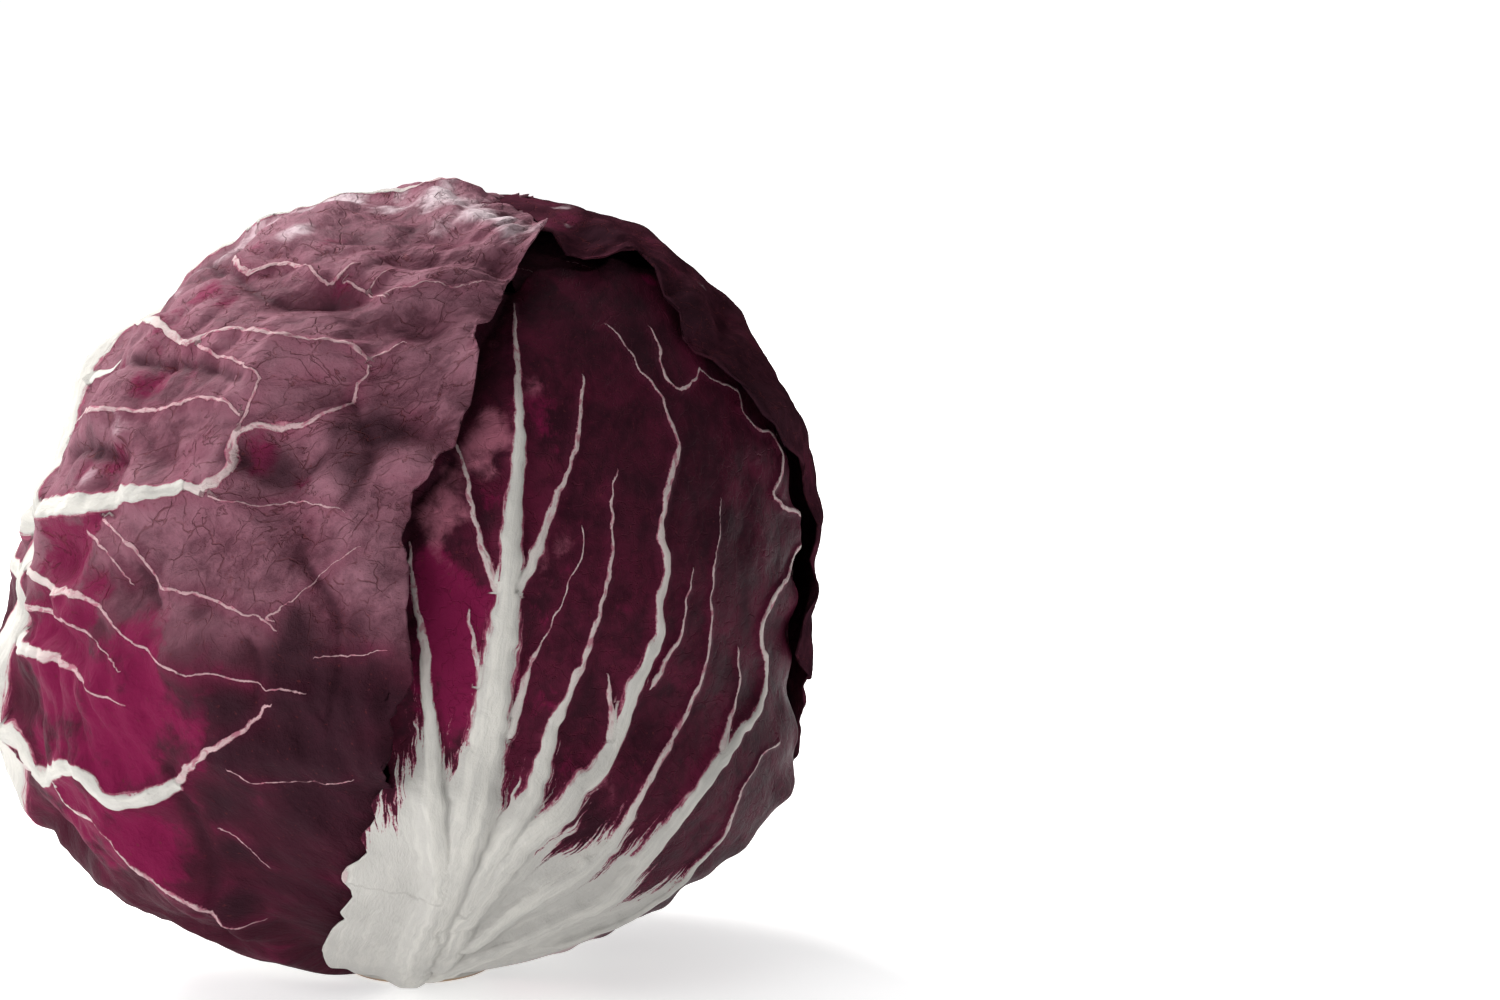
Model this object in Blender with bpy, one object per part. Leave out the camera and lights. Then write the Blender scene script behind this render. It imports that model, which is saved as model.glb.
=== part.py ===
"""A round head of red radicchio that stands on its cut stem.

The head is built as it grows: a short stem, a closed heart of small leaves, and seven wrapper
leaves, each a thin shell that follows the round of the head. Metres, +Z up. The origin is the
middle of the cut face. A polar angle is measured in degrees from the root (-Z), an azimuth in
degrees from the front (-Y) towards the right (+X). A depth is measured inwards from the head's
outermost round.
"""

import bmesh
import bpy
import numpy as np

HEAD_RADIUS = 0.0612
CENTRE_HEIGHT = 0.0592
LAYER = 0.0020
BLADE = 0.0008

# Leaf grids: ROW_STEP is the longest step between rows in degrees. SCALLOP is how much the margins
# wave, SCALLOP_PITCH how fast. TIP_WAVE and TIP_WAVES shape the wavy tip, FAN_SPACING is the columns
# from one side rib to the next.
ROW_STEP = 10.5
SCALLOP = 0.035
SCALLOP_PITCH = 0.35
TIP_WAVE = 1.5
TIP_WAVES = 8.0
FAN_SPACING = 2.0

# Ribs: MIDRIB_SPREAD is in degrees, RIB_FADE is what they lose towards the tip, RIB_BULK is how much
# of the midrib's height is flesh. RIB_START and BLISTER_START are the polar angles they grow in over.
MIDRIB_SPREAD = 7.0
RIB_FADE = 0.75
RIB_BULK = 0.4
RIB_START = (8.0, 30.0)
BLISTER_START = (24.0, 60.0)
BLISTERS_AROUND = 9.0
BLISTERS_UP = 7.0
BLISTER_SLANT = 0.05
LIFT_PITCH = 0.3

# Dents and puffs of the outermost leaf alone: polar angle, azimuth, height, spread in degrees.
LEFT_BUMPS = (
    (113, -19, -0.0022, 7),
    (118, -6, -0.0008, 6),
    (103, -35, -0.0026, 7),
    (92, -64, -0.0024, 6),
    (98, -50, 0.0016, 6),
    (138, -64, -0.0018, 8),
    (126, -58, 0.0016, 8),
    (130, -20, 0.0012, 7),
    (72, -70, -0.0018, 7),
    (86, -44, 0.0012, 8),
    (152, 42, 0.0022, 8),
    (122, -118, 0.0018, 11),
    (88, -132, -0.0016, 9),
    (66, -112, 0.0014, 11),
    (110, -150, -0.0008, 9),
    (138, -128, -0.0008, 10),
    (76, -164, 0.0016, 10),
)

# Where the closed head swells or sinks: polar angle, azimuth, height, spread in degrees.
SWELLINGS = (
    (64, -94, 0.0046, 24),
    (118, -90, -0.0062, 36),
    (152, 92, 0.0054, 24),
    (114, 92, 0.0044, 22),
    (58, 88, 0.0056, 18),
    (0, 0, -0.0024, 30),
    (180, 0, -0.0036, 26),
)

# Crumples shared by every leaf they lie under: polar angle, azimuth, height, spread in degrees.
CRUMPLES = (
    (110, -18, -0.0016, 12),
    (97, -50, -0.0012, 14),
    (132, -34, 0.0012, 10),
    (80, -30, 0.0012, 11),
    (60, -52, 0.0012, 10),
    (118, -120, 0.0016, 12),
    (84, -138, -0.0016, 12),
    (66, -110, 0.0014, 12),
    (112, 178, -0.0016, 12),
    (140, 150, 0.0016, 13),
    (92, 150, 0.0013, 14),
    (126, 118, -0.0013, 12),
    (70, 132, -0.0013, 12),
)

STEM_RADIUS = 0.0118
STEM_BEVEL = 0.0008
STEM_HEIGHT = 0.0150
STEM_SIDES = 32
STEM_CREASE = 35.0

HEART_DEPTH = 0.0152
HEART_DIMPLE = 0.0036
HEART_DIMPLE_SPREAD = 24
HEART_COLUMNS = 45
HEART_RINGS = 22
HEART_LEAVES = 3
HEART_STEP = 0.0014
HEART_TWIST = 0.8
HEART_VEINS = 15.0
HEART_VEIN = 0.0004

COLOURS = {
    "stem": (0.62, 0.55, 0.45),
    "heart": (0.22, 0.03, 0.07),
    "leaf": (0.20, 0.035, 0.075),
    "dusty_leaf": (0.26, 0.09, 0.13),
}

# Each wrapper leaf, from the outermost inwards.
#   azimuth: where its midrib stands; lean: how far its tip slides over the crown
#   sway: degrees of azimuth that the midrib gains for each degree upwards from the equator
#   depth: how deep it lies, at its upper part and at its base, and the polar angles between which
#     it changes from one to the other
#   tuck: for a margin that dips under a neighbour: depth, polar angles and azimuths of its start and end
#   rib, fan, blister: heights of the midrib, of the side ribs and of the puffed skin between them
#   lift: how far the left and the right margin stand off; columns: faces across
#   rows: its own polar angle, then the reach of its left and of its right half in degrees
LEAVES = (
    dict(
        name="leaf_left", finish="dusty_leaf", azimuth=-94, lean=0.30, sway=0.0,
        depth=(0.0, 0.0), rise=(0, 1), tuck=(0.0034, 77, 69, -39, -30),
        rib=0.0016, fan=0.0010, blister=0.0012, lift=(0.0010, 0.0012), bumps=LEFT_BUMPS, columns=26,
        rows=(
            (12.4, 66, 56), (22, 82, 78), (34, 90, 90), (46, 94, 96), (56, 96, 98), (65, 97, 92),
            (70, 97, 78), (73, 97, 74), (79, 96, 76), (86, 95, 77), (96, 94, 74), (106, 92, 70),
            (114, 90, 70), (121, 86, 71), (130, 80, 67), (138, 71, 64), (146, 60, 61), (153, 48, 56),
            (158, 36, 53), (161, 24, 49),
        ),
    ),
    dict(
        name="leaf_back_right", finish="dusty_leaf", azimuth=140, lean=0.25, sway=0.0,
        depth=(1.1, 1.1), rise=(0, 1), tuck=None,
        rib=0.0014, fan=0.0005, blister=0.0, lift=(0.0010, 0.0), bumps=(), columns=20,
        rows=(
            (12.4, 44, 56), (22, 46, 70), (34, 44, 76), (46, 42, 80), (58, 40, 82), (68, 43, 82),
            (73, 52, 80), (79, 57, 80), (85, 46, 80), (92, 46, 80), (102, 50, 78), (112, 54, 76),
            (121, 53, 72), (126, 47, 68), (131, 41, 62), (136, 51, 55), (141, 46, 46), (146, 32, 32),
            (149, 18, 18),
        ),
    ),
    dict(
        name="leaf_front", finish="leaf", azimuth=10.5, lean=0.0, sway=0.2,
        depth=(2.1, 0.35), rise=(80, 67), tuck=None,
        rib=0.0020, fan=0.0007, blister=0.0, lift=(0.0, 0.0), bumps=(), columns=20,
        rows=(
            (12.4, 14, 52), (20, 19, 58), (29, 23, 64), (37, 23, 67), (45, 18, 68), (54, 15, 70),
            (61, 14, 71), (68, 11, 70), (73, 9, 68), (78, 14, 67), (86, 26, 66), (96, 30, 65),
            (108, 29, 63), (120, 27, 60), (130, 27, 58), (138, 28, 56), (144, 26, 52), (148, 20, 40),
        ),
    ),
    dict(
        name="leaf_right", finish="leaf", azimuth=88, lean=0.12, sway=0.0,
        depth=(3.1, 2.0), rise=(72, 52), tuck=None,
        rib=0.0006, fan=0.0002, blister=0.0, lift=(0.0, 0.0), bumps=(), columns=14,
        rows=(
            (13.2, 50, 54), (26, 60, 66), (42, 62, 70), (58, 64, 74), (74, 66, 76), (90, 66, 76),
            (106, 64, 72), (122, 58, 64), (136, 48, 52), (147, 32, 34), (153, 14, 16),
        ),
    ),
    dict(
        name="leaf_back_left", finish="leaf", azimuth=-150, lean=0.12, sway=0.0,
        depth=(4.1, 2.9), rise=(56, 36), tuck=None,
        rib=0.0006, fan=0.0002, blister=0.0, lift=(0.0, 0.0), bumps=(), columns=14,
        rows=(
            (13.9, 50, 50), (26, 64, 60), (42, 72, 68), (58, 76, 72), (74, 78, 74), (90, 78, 74),
            (106, 74, 70), (122, 66, 62), (136, 54, 50), (148, 36, 34), (156, 16, 14),
        ),
    ),
    dict(
        name="leaf_inner_left", finish="leaf", azimuth=-50, lean=0.16, sway=0.0,
        depth=(5.2, 4.7), rise=(44, 20), tuck=None,
        rib=0.0006, fan=0.0002, blister=0.0, lift=(0.0, 0.0), bumps=(), columns=14,
        rows=(
            (14.8, 48, 48), (28, 60, 58), (46, 68, 66), (64, 74, 70), (82, 76, 72), (100, 74, 70),
            (118, 66, 62), (134, 54, 50), (147, 36, 32), (156, 16, 14),
        ),
    ),
    dict(
        name="leaf_inner_back", finish="leaf", azimuth=165, lean=0.16, sway=0.0,
        depth=(6.2, 5.8), rise=(44, 20), tuck=None,
        rib=0.0006, fan=0.0002, blister=0.0, lift=(0.0, 0.0), bumps=(), columns=14,
        rows=(
            (15.6, 46, 46), (28, 58, 58), (46, 66, 68), (64, 70, 72), (82, 72, 74), (100, 70, 72),
            (118, 62, 66), (134, 50, 54), (147, 34, 36), (157, 14, 16),
        ),
    ),
)


def ease(value, start, end):
    """0 before start, 1 after end, with a smooth run between them."""
    share = np.clip((value - start) / (end - start), 0.0, 1.0)
    return share * share * (3.0 - 2.0 * share)


def direction(polar, azimuth):
    """Unit vectors from the head's centre."""
    polar, azimuth = np.radians(polar), np.radians(azimuth)
    sideways = np.sin(polar)
    return np.stack([sideways * np.sin(azimuth), -sideways * np.cos(azimuth), -np.cos(polar)], axis=-1)


def angles(toward):
    """Polar angle and azimuth of unit vectors."""
    polar = np.degrees(np.arccos(np.clip(-toward[..., 2], -1.0, 1.0)))
    return polar, np.degrees(np.arctan2(toward[..., 0], -toward[..., 1]))


def swelling(toward, bumps):
    """Height of a list of round bumps, each a polar angle, azimuth, height and spread."""
    height = np.zeros(toward.shape[:-1])
    for polar, azimuth, top, spread in bumps:
        turn = np.degrees(np.arccos(np.clip(toward @ direction(polar, azimuth), -1.0, 1.0)))
        height += top * np.exp(-((turn / spread) ** 2))
    return height


def head_round(toward):
    """Distance from the centre to the head's outermost round."""
    return HEAD_RADIUS + swelling(toward, SWELLINGS + CRUMPLES)


def leaning(polar, azimuth, lean, midrib):
    """Unit vectors for a leaf's own angles, with the leaf slid over the crown by its lean."""
    along = np.tan(np.radians(polar) / 2.0) * np.exp(1j * np.radians(azimuth))
    shift = 1.0 - lean * along
    size = abs(along) ** 2 + abs(shift) ** 2
    flat = 2.0 * along * np.conj(shift) / size * np.exp(1j * np.radians(midrib))
    return np.stack([flat.imag, -flat.real, -(abs(shift) ** 2 - abs(along) ** 2) / size], axis=-1)


def leaf_sheet(leaf):
    """Outer and inner points of a leaf, as grids of rows from base to tip and columns left to right."""
    outline = np.array(leaf["rows"], dtype=float)
    stations = [outline[0, 0]]
    for low, high in zip(outline[:-1, 0], outline[1:, 0]):
        steps = int(np.ceil((high - low) / ROW_STEP))
        stations += [low + (high - low) * step / steps for step in range(1, steps + 1)]
    polar = np.array(stations)[:, None]
    left = np.interp(polar, outline[:, 0], outline[:, 1])
    right = np.interp(polar, outline[:, 0], outline[:, 2])
    across = np.linspace(-1.0, 1.0, leaf["columns"] + 1)[None, :]
    upward = (polar - polar[0]) / (polar[-1] - polar[0])
    scallop = 1.0 + SCALLOP * np.sin(polar * SCALLOP_PITCH + leaf["azimuth"]) * upward
    own_azimuth = np.where(across < 0.0, left, right) * across * scallop
    own_azimuth = own_azimuth + leaf["sway"] * (polar - 90.0)
    tip_wave = TIP_WAVE * upward ** 8 * np.sin(across * TIP_WAVES + leaf["azimuth"])
    toward = leaning(polar + tip_wave, own_azimuth, leaf["lean"], leaf["azimuth"])

    true_polar, true_azimuth = angles(toward)
    upper, base = leaf["depth"]
    depth = LAYER * (upper + (base - upper) * ease(-polar, -leaf["rise"][0], -leaf["rise"][1]))
    depth = depth + np.zeros_like(toward[..., 0])
    under = np.zeros_like(depth)
    if leaf["tuck"]:
        tuck_depth, polar_from, polar_to, azimuth_from, azimuth_to = leaf["tuck"]
        under = ease(-true_polar, -polar_from, -polar_to) * ease(true_azimuth, azimuth_from, azimuth_to)
        under *= np.abs(true_azimuth) < 90.0
        depth += tuck_depth * under

    strength = (1.0 - RIB_FADE * upward) * (1.0 - under) * ease(polar, *RIB_START)
    off_midrib = own_azimuth - leaf["sway"] * (polar - 90.0)
    midrib = leaf["rib"] * strength * np.exp(-((off_midrib / MIDRIB_SPREAD) ** 2))
    ribs = np.maximum(0.0, np.cos(across * np.pi * leaf["columns"] / FAN_SPACING)) ** 2
    fan = leaf["fan"] * strength * ribs * (1.0 - across ** 4)
    around = np.sin(np.radians(own_azimuth) * BLISTERS_AROUND + polar * BLISTER_SLANT)
    pockets = np.maximum(0.0, around * np.sin(np.radians(polar) * BLISTERS_UP))
    blister = leaf["blister"] * pockets * ease(polar, *BLISTER_START) * (1.0 - under)
    flare = np.abs(across) ** 6 * (0.5 + 0.5 * np.sin(polar * LIFT_PITCH))
    lift = np.where(across < 0.0, *leaf["lift"]) * flare * (1.0 - under)
    outer = head_round(toward) - depth + midrib + fan + blister + lift + swelling(toward, leaf["bumps"])
    thick = BLADE + RIB_BULK * midrib
    centre = np.array([0.0, 0.0, CENTRE_HEIGHT])
    return toward * outer[..., None] + centre, toward * (outer - thick)[..., None] + centre


def closed_sheet(name, outer, inner):
    """One closed shell between two grids of points, split into triangles alike on both."""
    rows, columns = outer.shape[:2]
    count = rows * columns
    faces = []
    for row in range(rows - 1):
        for column in range(columns - 1):
            a = row * columns + column
            b, c, d = a + 1, a + columns + 1, a + columns
            faces += [(a, b, c), (a, c, d)]
            faces += [(a + count, c + count, b + count), (a + count, d + count, c + count)]
    rim = list(range(columns))
    rim += [row * columns + columns - 1 for row in range(1, rows)]
    rim += [(rows - 1) * columns + column for column in range(columns - 2, -1, -1)]
    rim += [row * columns for row in range(rows - 2, 0, -1)]
    for here, there in zip(rim, rim[1:] + rim[:1]):
        faces += [(here, here + count, there + count), (here, there + count, there)]
    points = np.concatenate([outer.reshape(-1, 3), inner.reshape(-1, 3)])
    return solid(name, points, faces)


def solid(name, points, faces):
    """A mesh object from points and faces that run counterclockwise seen from outside."""
    mesh = bpy.data.meshes.new(name)
    mesh.from_pydata([tuple(point) for point in points], [], faces)
    mesh.shade_smooth()
    made = bpy.data.objects.new(name, mesh)
    bpy.context.collection.objects.link(made)
    return made


def make_heart():
    """The closed inner leaves: a dense body with the steps of its overlapping leaf edges."""
    polar = np.linspace(0.0, 180.0, HEART_RINGS + 1)[1:-1, None]
    azimuth = np.arange(HEART_COLUMNS)[None, :] * 360.0 / HEART_COLUMNS
    toward = direction(polar + 0.0 * azimuth, azimuth + 0.0 * polar)
    turn = (azimuth + HEART_TWIST * polar) * HEART_LEAVES / 360.0
    steps = HEART_STEP * (turn % 1.0) * np.sin(np.radians(polar))
    veins = HEART_VEIN * np.cos(np.radians(azimuth) * HEART_VEINS) * np.sin(np.radians(polar)) ** 2
    dimple = HEART_DIMPLE * np.exp(-((polar / HEART_DIMPLE_SPREAD) ** 2))
    reach = head_round(toward) - HEART_DEPTH - dimple - steps + veins
    points = (toward * reach[..., None]).reshape(-1, 3)
    root = direction(0.0, 0.0) * (head_round(direction(0.0, 0.0)) - HEART_DEPTH - HEART_DIMPLE)
    crown = direction(180.0, 0.0) * (head_round(direction(180.0, 0.0)) - HEART_DEPTH)
    points = np.concatenate([points, root[None], crown[None]]) + np.array([0.0, 0.0, CENTRE_HEIGHT])
    rings = HEART_RINGS - 1
    faces = []
    for column in range(HEART_COLUMNS):
        following = (column + 1) % HEART_COLUMNS
        faces.append((rings * HEART_COLUMNS, following, column))
        last = (rings - 1) * HEART_COLUMNS
        faces.append((rings * HEART_COLUMNS + 1, last + column, last + following))
        for ring in range(rings - 1):
            low = ring * HEART_COLUMNS
            high = low + HEART_COLUMNS
            faces.append((low + column, low + following, high + following))
            faces.append((low + column, high + following, high + column))
    return solid("heart", points, faces)


def make_stem():
    """The stub of the core: a flat cut with a softened rim, narrowing upwards into the head."""
    profile = (
        (STEM_RADIUS - STEM_BEVEL, 0.0),
        (STEM_RADIUS, STEM_BEVEL),
        (STEM_RADIUS, 0.30 * STEM_HEIGHT),
        (0.92 * STEM_RADIUS, 0.70 * STEM_HEIGHT),
        (0.70 * STEM_RADIUS, STEM_HEIGHT),
    )
    shape = bmesh.new()
    rings = []
    for radius, height in profile:
        turns = np.linspace(0.0, 2.0 * np.pi, STEM_SIDES, endpoint=False)
        rings.append([shape.verts.new((radius * np.cos(t), radius * np.sin(t), height)) for t in turns])
    for low, high in zip(rings, rings[1:]):
        for side in range(STEM_SIDES):
            following = (side + 1) % STEM_SIDES
            shape.faces.new((low[side], low[following], high[following], high[side]))
    shape.faces.new(rings[0][::-1])
    shape.faces.new(rings[-1])
    mesh = bpy.data.meshes.new("stem")
    shape.to_mesh(mesh)
    shape.free()
    mesh.shade_smooth()
    mesh.set_sharp_from_angle(angle=np.radians(STEM_CREASE))
    made = bpy.data.objects.new("stem", mesh)
    bpy.context.collection.objects.link(made)
    return made


def paint(thing, finish, roughness):
    """A plain material in the colour of the thing's finish."""
    material = bpy.data.materials.new(thing.name + "_" + finish)
    material.use_nodes = True
    shader = material.node_tree.nodes["Principled BSDF"]
    shader.inputs["Base Color"].default_value = (*COLOURS[finish], 1.0)
    shader.inputs["Roughness"].default_value = roughness
    shader.inputs["Metallic"].default_value = 0.0
    thing.data.materials.append(material)


def main():
    for thing in list(bpy.data.objects):
        bpy.data.objects.remove(thing, do_unlink=True)
    paint(make_stem(), "stem", 0.7)
    paint(make_heart(), "heart", 0.5)
    for leaf in LEAVES:
        outer, inner = leaf_sheet(leaf)
        paint(closed_sheet(leaf["name"], outer, inner), leaf["finish"], 0.5)


main()
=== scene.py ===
"""Finish for a round head of red radicchio: fine leaves with ribs and crumples, materials, light and camera.

A polar angle is measured in degrees from the root (-Z) at the head's centre, an azimuth in degrees
from the front (-Y) towards the right (+X). Pixels are those of the 1500 x 1000 photograph.
"""

import bpy
import numpy as np
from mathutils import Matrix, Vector


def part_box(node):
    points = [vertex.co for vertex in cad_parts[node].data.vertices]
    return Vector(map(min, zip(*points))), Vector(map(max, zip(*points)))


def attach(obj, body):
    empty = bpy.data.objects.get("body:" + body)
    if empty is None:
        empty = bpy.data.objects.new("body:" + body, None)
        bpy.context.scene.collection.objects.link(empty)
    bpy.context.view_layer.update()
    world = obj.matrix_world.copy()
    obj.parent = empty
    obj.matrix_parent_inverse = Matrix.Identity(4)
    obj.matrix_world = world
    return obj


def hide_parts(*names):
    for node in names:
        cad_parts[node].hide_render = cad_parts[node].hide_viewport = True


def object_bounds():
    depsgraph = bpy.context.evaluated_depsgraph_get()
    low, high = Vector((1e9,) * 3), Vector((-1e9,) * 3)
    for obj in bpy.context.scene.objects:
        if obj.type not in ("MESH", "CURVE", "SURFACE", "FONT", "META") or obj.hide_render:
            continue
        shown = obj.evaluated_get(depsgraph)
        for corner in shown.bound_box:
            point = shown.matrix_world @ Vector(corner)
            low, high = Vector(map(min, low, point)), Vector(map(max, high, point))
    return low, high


bl_info = {
    "name": "Radicchio Head",
    "version": (1, 0, 0),
    "blender": (4, 5, 0),
    "location": "3D View > Sidebar > Radicchio",
    "description": "Builds the leaves, stem and studio of a round head of red radicchio",
    "category": "Object",
}

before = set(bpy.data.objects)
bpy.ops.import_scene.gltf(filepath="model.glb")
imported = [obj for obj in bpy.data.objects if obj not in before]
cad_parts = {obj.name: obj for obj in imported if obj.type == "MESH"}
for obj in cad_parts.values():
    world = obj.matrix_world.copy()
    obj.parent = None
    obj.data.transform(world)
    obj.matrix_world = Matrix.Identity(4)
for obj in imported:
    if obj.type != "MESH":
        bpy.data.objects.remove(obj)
CAD_LOW, CAD_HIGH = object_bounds()
STEM_LOW, STEM_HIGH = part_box("stem")

HEAD_RADIUS = 0.0612
CENTRE = np.array([0.0, 0.0, 0.0592])
LAYER = 0.0020
SCALLOP = 0.035
TIP_WAVE = 1.5
MILLIMETRE = 0.001

# Round swellings and dents of the whole head: polar angle, azimuth, height and spread in degrees.
SWELLINGS = (
    (64, -94, 0.0046, 24),
    (118, -90, -0.0062, 36),
    (152, 92, 0.0054, 24),
    (114, 92, 0.0044, 22),
    (58, 88, 0.0056, 18),
    (0, 0, -0.0024, 30),
    (180, 0, -0.0036, 26),
)
CRUMPLES = (
    (110, -18, -0.0016, 12),
    (97, -50, -0.0012, 14),
    (132, -34, 0.0012, 10),
    (80, -30, 0.0012, 11),
    (60, -52, 0.0012, 10),
    (118, -120, 0.0016, 12),
    (84, -138, -0.0016, 12),
    (66, -110, 0.0014, 12),
    (112, 178, -0.0016, 12),
    (140, 150, 0.0016, 13),
    (92, 150, 0.0013, 14),
    (126, 118, -0.0013, 12),
    (70, 132, -0.0013, 12),
)
# The same of the left leaf alone.
LEFT_BUMPS = (
    (113, -19, -0.0022, 7),
    (118, -6, -0.0008, 6),
    (103, -35, -0.0026, 7),
    (92, -64, -0.0024, 6),
    (98, -50, 0.0016, 6),
    (138, -64, -0.0018, 8),
    (126, -58, 0.0016, 8),
    (130, -20, 0.0012, 7),
    (72, -70, -0.0018, 7),
    (86, -44, 0.0012, 8),
    (152, 42, 0.0022, 8),
    (122, -118, 0.0018, 11),
    (88, -132, -0.0016, 9),
    (66, -112, 0.0014, 11),
    (110, -150, -0.0008, 9),
    (138, -128, -0.0008, 10),
    (76, -164, 0.0016, 10),
)

# The heart: its depth under the head's round, the dimple at its root, and the edges of its leaves.
HEART_DEPTH = 0.0152
HEART_DIMPLE = 0.0036
HEART_DIMPLE_SPREAD = 24
HEART_LEAVES = 3
HEART_STEP = 0.0014
HEART_TWIST = 0.8
HEART_GRID = (87, 180)
HEART_RIBS = range(0, 360, 30)
HEART_RIB_WIDTHS = (0.006, 0.003, 0.0015, 0.0004)
HEART_RIB_HEIGHT = 0.0004

# Veins: how far from one its field is worked out, how much it wanders and over what length, how far apart
# the points of its route are, its least width, and the half width from which a rib stands out in full.
VEIN_REACH = 0.011
VEIN_WANDER = 0.00018
VEIN_WANDER_LENGTH = 0.0032
VEIN_SPACING = 0.0012
VEIN_THINNEST = 0.0002
FULL_RIB = 0.0016

# Grown veins, in degrees: what stays clear of them at a leaf's base and tip, how far they climb, the share
# of the way to the margin that they reach, and how far they stray up and across at each of their points.
VEIN_CLEAR = (14.0, 26.0)
VEIN_CLIMB = (22.0, 36.0)
VEIN_SHARE = 0.94
VEIN_STRAY = (1.1, 0.9)
VEIN_POINTS = 12
MIDRIB_THINNEST = 0.0006

# Their forks: from which points they leave, how far they climb and reach, how far they stray, and their
# width as a share of the vein's, with the width that they end in.
FORKS = (3, 6, 9)
FORK_CLIMB = (8.0, 15.0)
FORK_REACH = 12.0
FORK_STRAY = (0.5, 0.6)
FORK_POINTS = 6
FORK_WIDTHS = (0.6, 0.00018)

# Creases, each as its share of the crumple height and its length in metres.
BROAD_FOLDS = (0.6, 0.024)
HOLLOWS = (0.45, 0.015)
SMALL_FOLDS = (0.22, 0.010)
KNUCKLES = (0.32, 0.0095)
RIPPLE = (0.08, 0.0050)
FINE_RIPPLE = (0.05, 0.0024)
RIB_PUFF = (0.7, 0.0038)

# A leaf's margin: how far it curls and its frills in degrees, each with its length in metres.
MARGIN_CURL = (0.0004, 0.011)
FRILL = (0.8, 0.0050)
FINE_FRILL = (0.5, 0.0018)

# The inner face of a leaf has one point for every INNER_STRIDE of its outer face.
INNER_STRIDE = 4

# The stem: sides, rounding of its lower edge, share of its radius that is cut face, and its walls, each
# point a share of the radius and of the height.
STEM_SIDES = 160
STEM_BEVEL = 0.0008
STEM_CUT = 0.93
STEM_WALLS = ((1.0, 0.10), (1.0, 0.20), (1.0, 0.30), (0.97, 0.50), (0.92, 0.70), (0.70, 1.0))

# Lights: place, size, power and colour. The sky brightens towards SKY_BRIGHT.
LIGHTS = {
    "key_light": ((-0.45, 0.50, 0.80), 0.50, 19.0, (1.0, 0.985, 0.96)),
    "front_light": ((-0.65, -0.68, 0.42), 0.50, 5.0, (1.0, 1.0, 1.0)),
}
SKY_BRIGHT = (-0.66, 0.40, 0.50)
SKY_RUN = {"From Min": -0.1, "From Max": 0.75, "To Min": 0.08, "To Max": 1.00}
FLOOR_REACH = 30.0
FLOOR_GLOW = 0.55

# The photograph's camera, in degrees; a pixel at the head is PIXEL_SIZE metres wide.
PHOTO_SIZE = (1500, 1000)
LENS = 85.0
SENSOR = 36.0
CAMERA_DISTANCE = 0.54
CAMERA_ELEVATION = 10.0
CAMERA_YAW = 5.4855
CAMERA_PITCH = -8.6702
PIXEL_SIZE = CAMERA_DISTANCE * SENSOR / LENS / PHOTO_SIZE[0]

# Each leaf's values. As in the part's source:
#   azimuth, lean, sway: where its middle is, how far it slides over the crown and turns as it climbs
#   rows: its outline, each an own polar angle with the degrees to its left and its right margin
#   depth: layers that it lies under, above and at its base; rise: the polar angles between the two
#   tuck: how far its margin dips under a neighbour, then the polar angles and azimuths it sets in over
#   bumps: dents and puffs of its own; lift: how far its left and its right margin stand off
# Set for the fine leaf:
#   grid: rows and columns; middle: share of the columns left of the leaf's middle
#   crumple and ribs: height of its creases and ribs; frill and scallop: how ragged and waved its margin is
#   film_and_sheen: polar angles over which its dusty film and its painted sheen set in, with painted shade
#       below them
#   covered: how far the part under the next leaf is sunk, and the azimuths from the leaf's middle that
#     it sets in over; tip_sink: how far its tip is sunk
#   white_top: polar angle where its white base ends, and how far that sinks per degree of azimuth
#   midrib: its route in own angles; mid_half: its half width at the base
PLAIN_LEAF = dict(
    sway=0.0, tuck=None, bumps=(), lift=(0.0, 0.0), middle=0.5, crumple=0.3, ribs=1.0, frill=0.4,
    scallop=SCALLOP, film_and_sheen=(0, 1), covered=(0.0, 0, 1), tip_sink=0.0, white_top=(42, 0.0),
)
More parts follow.
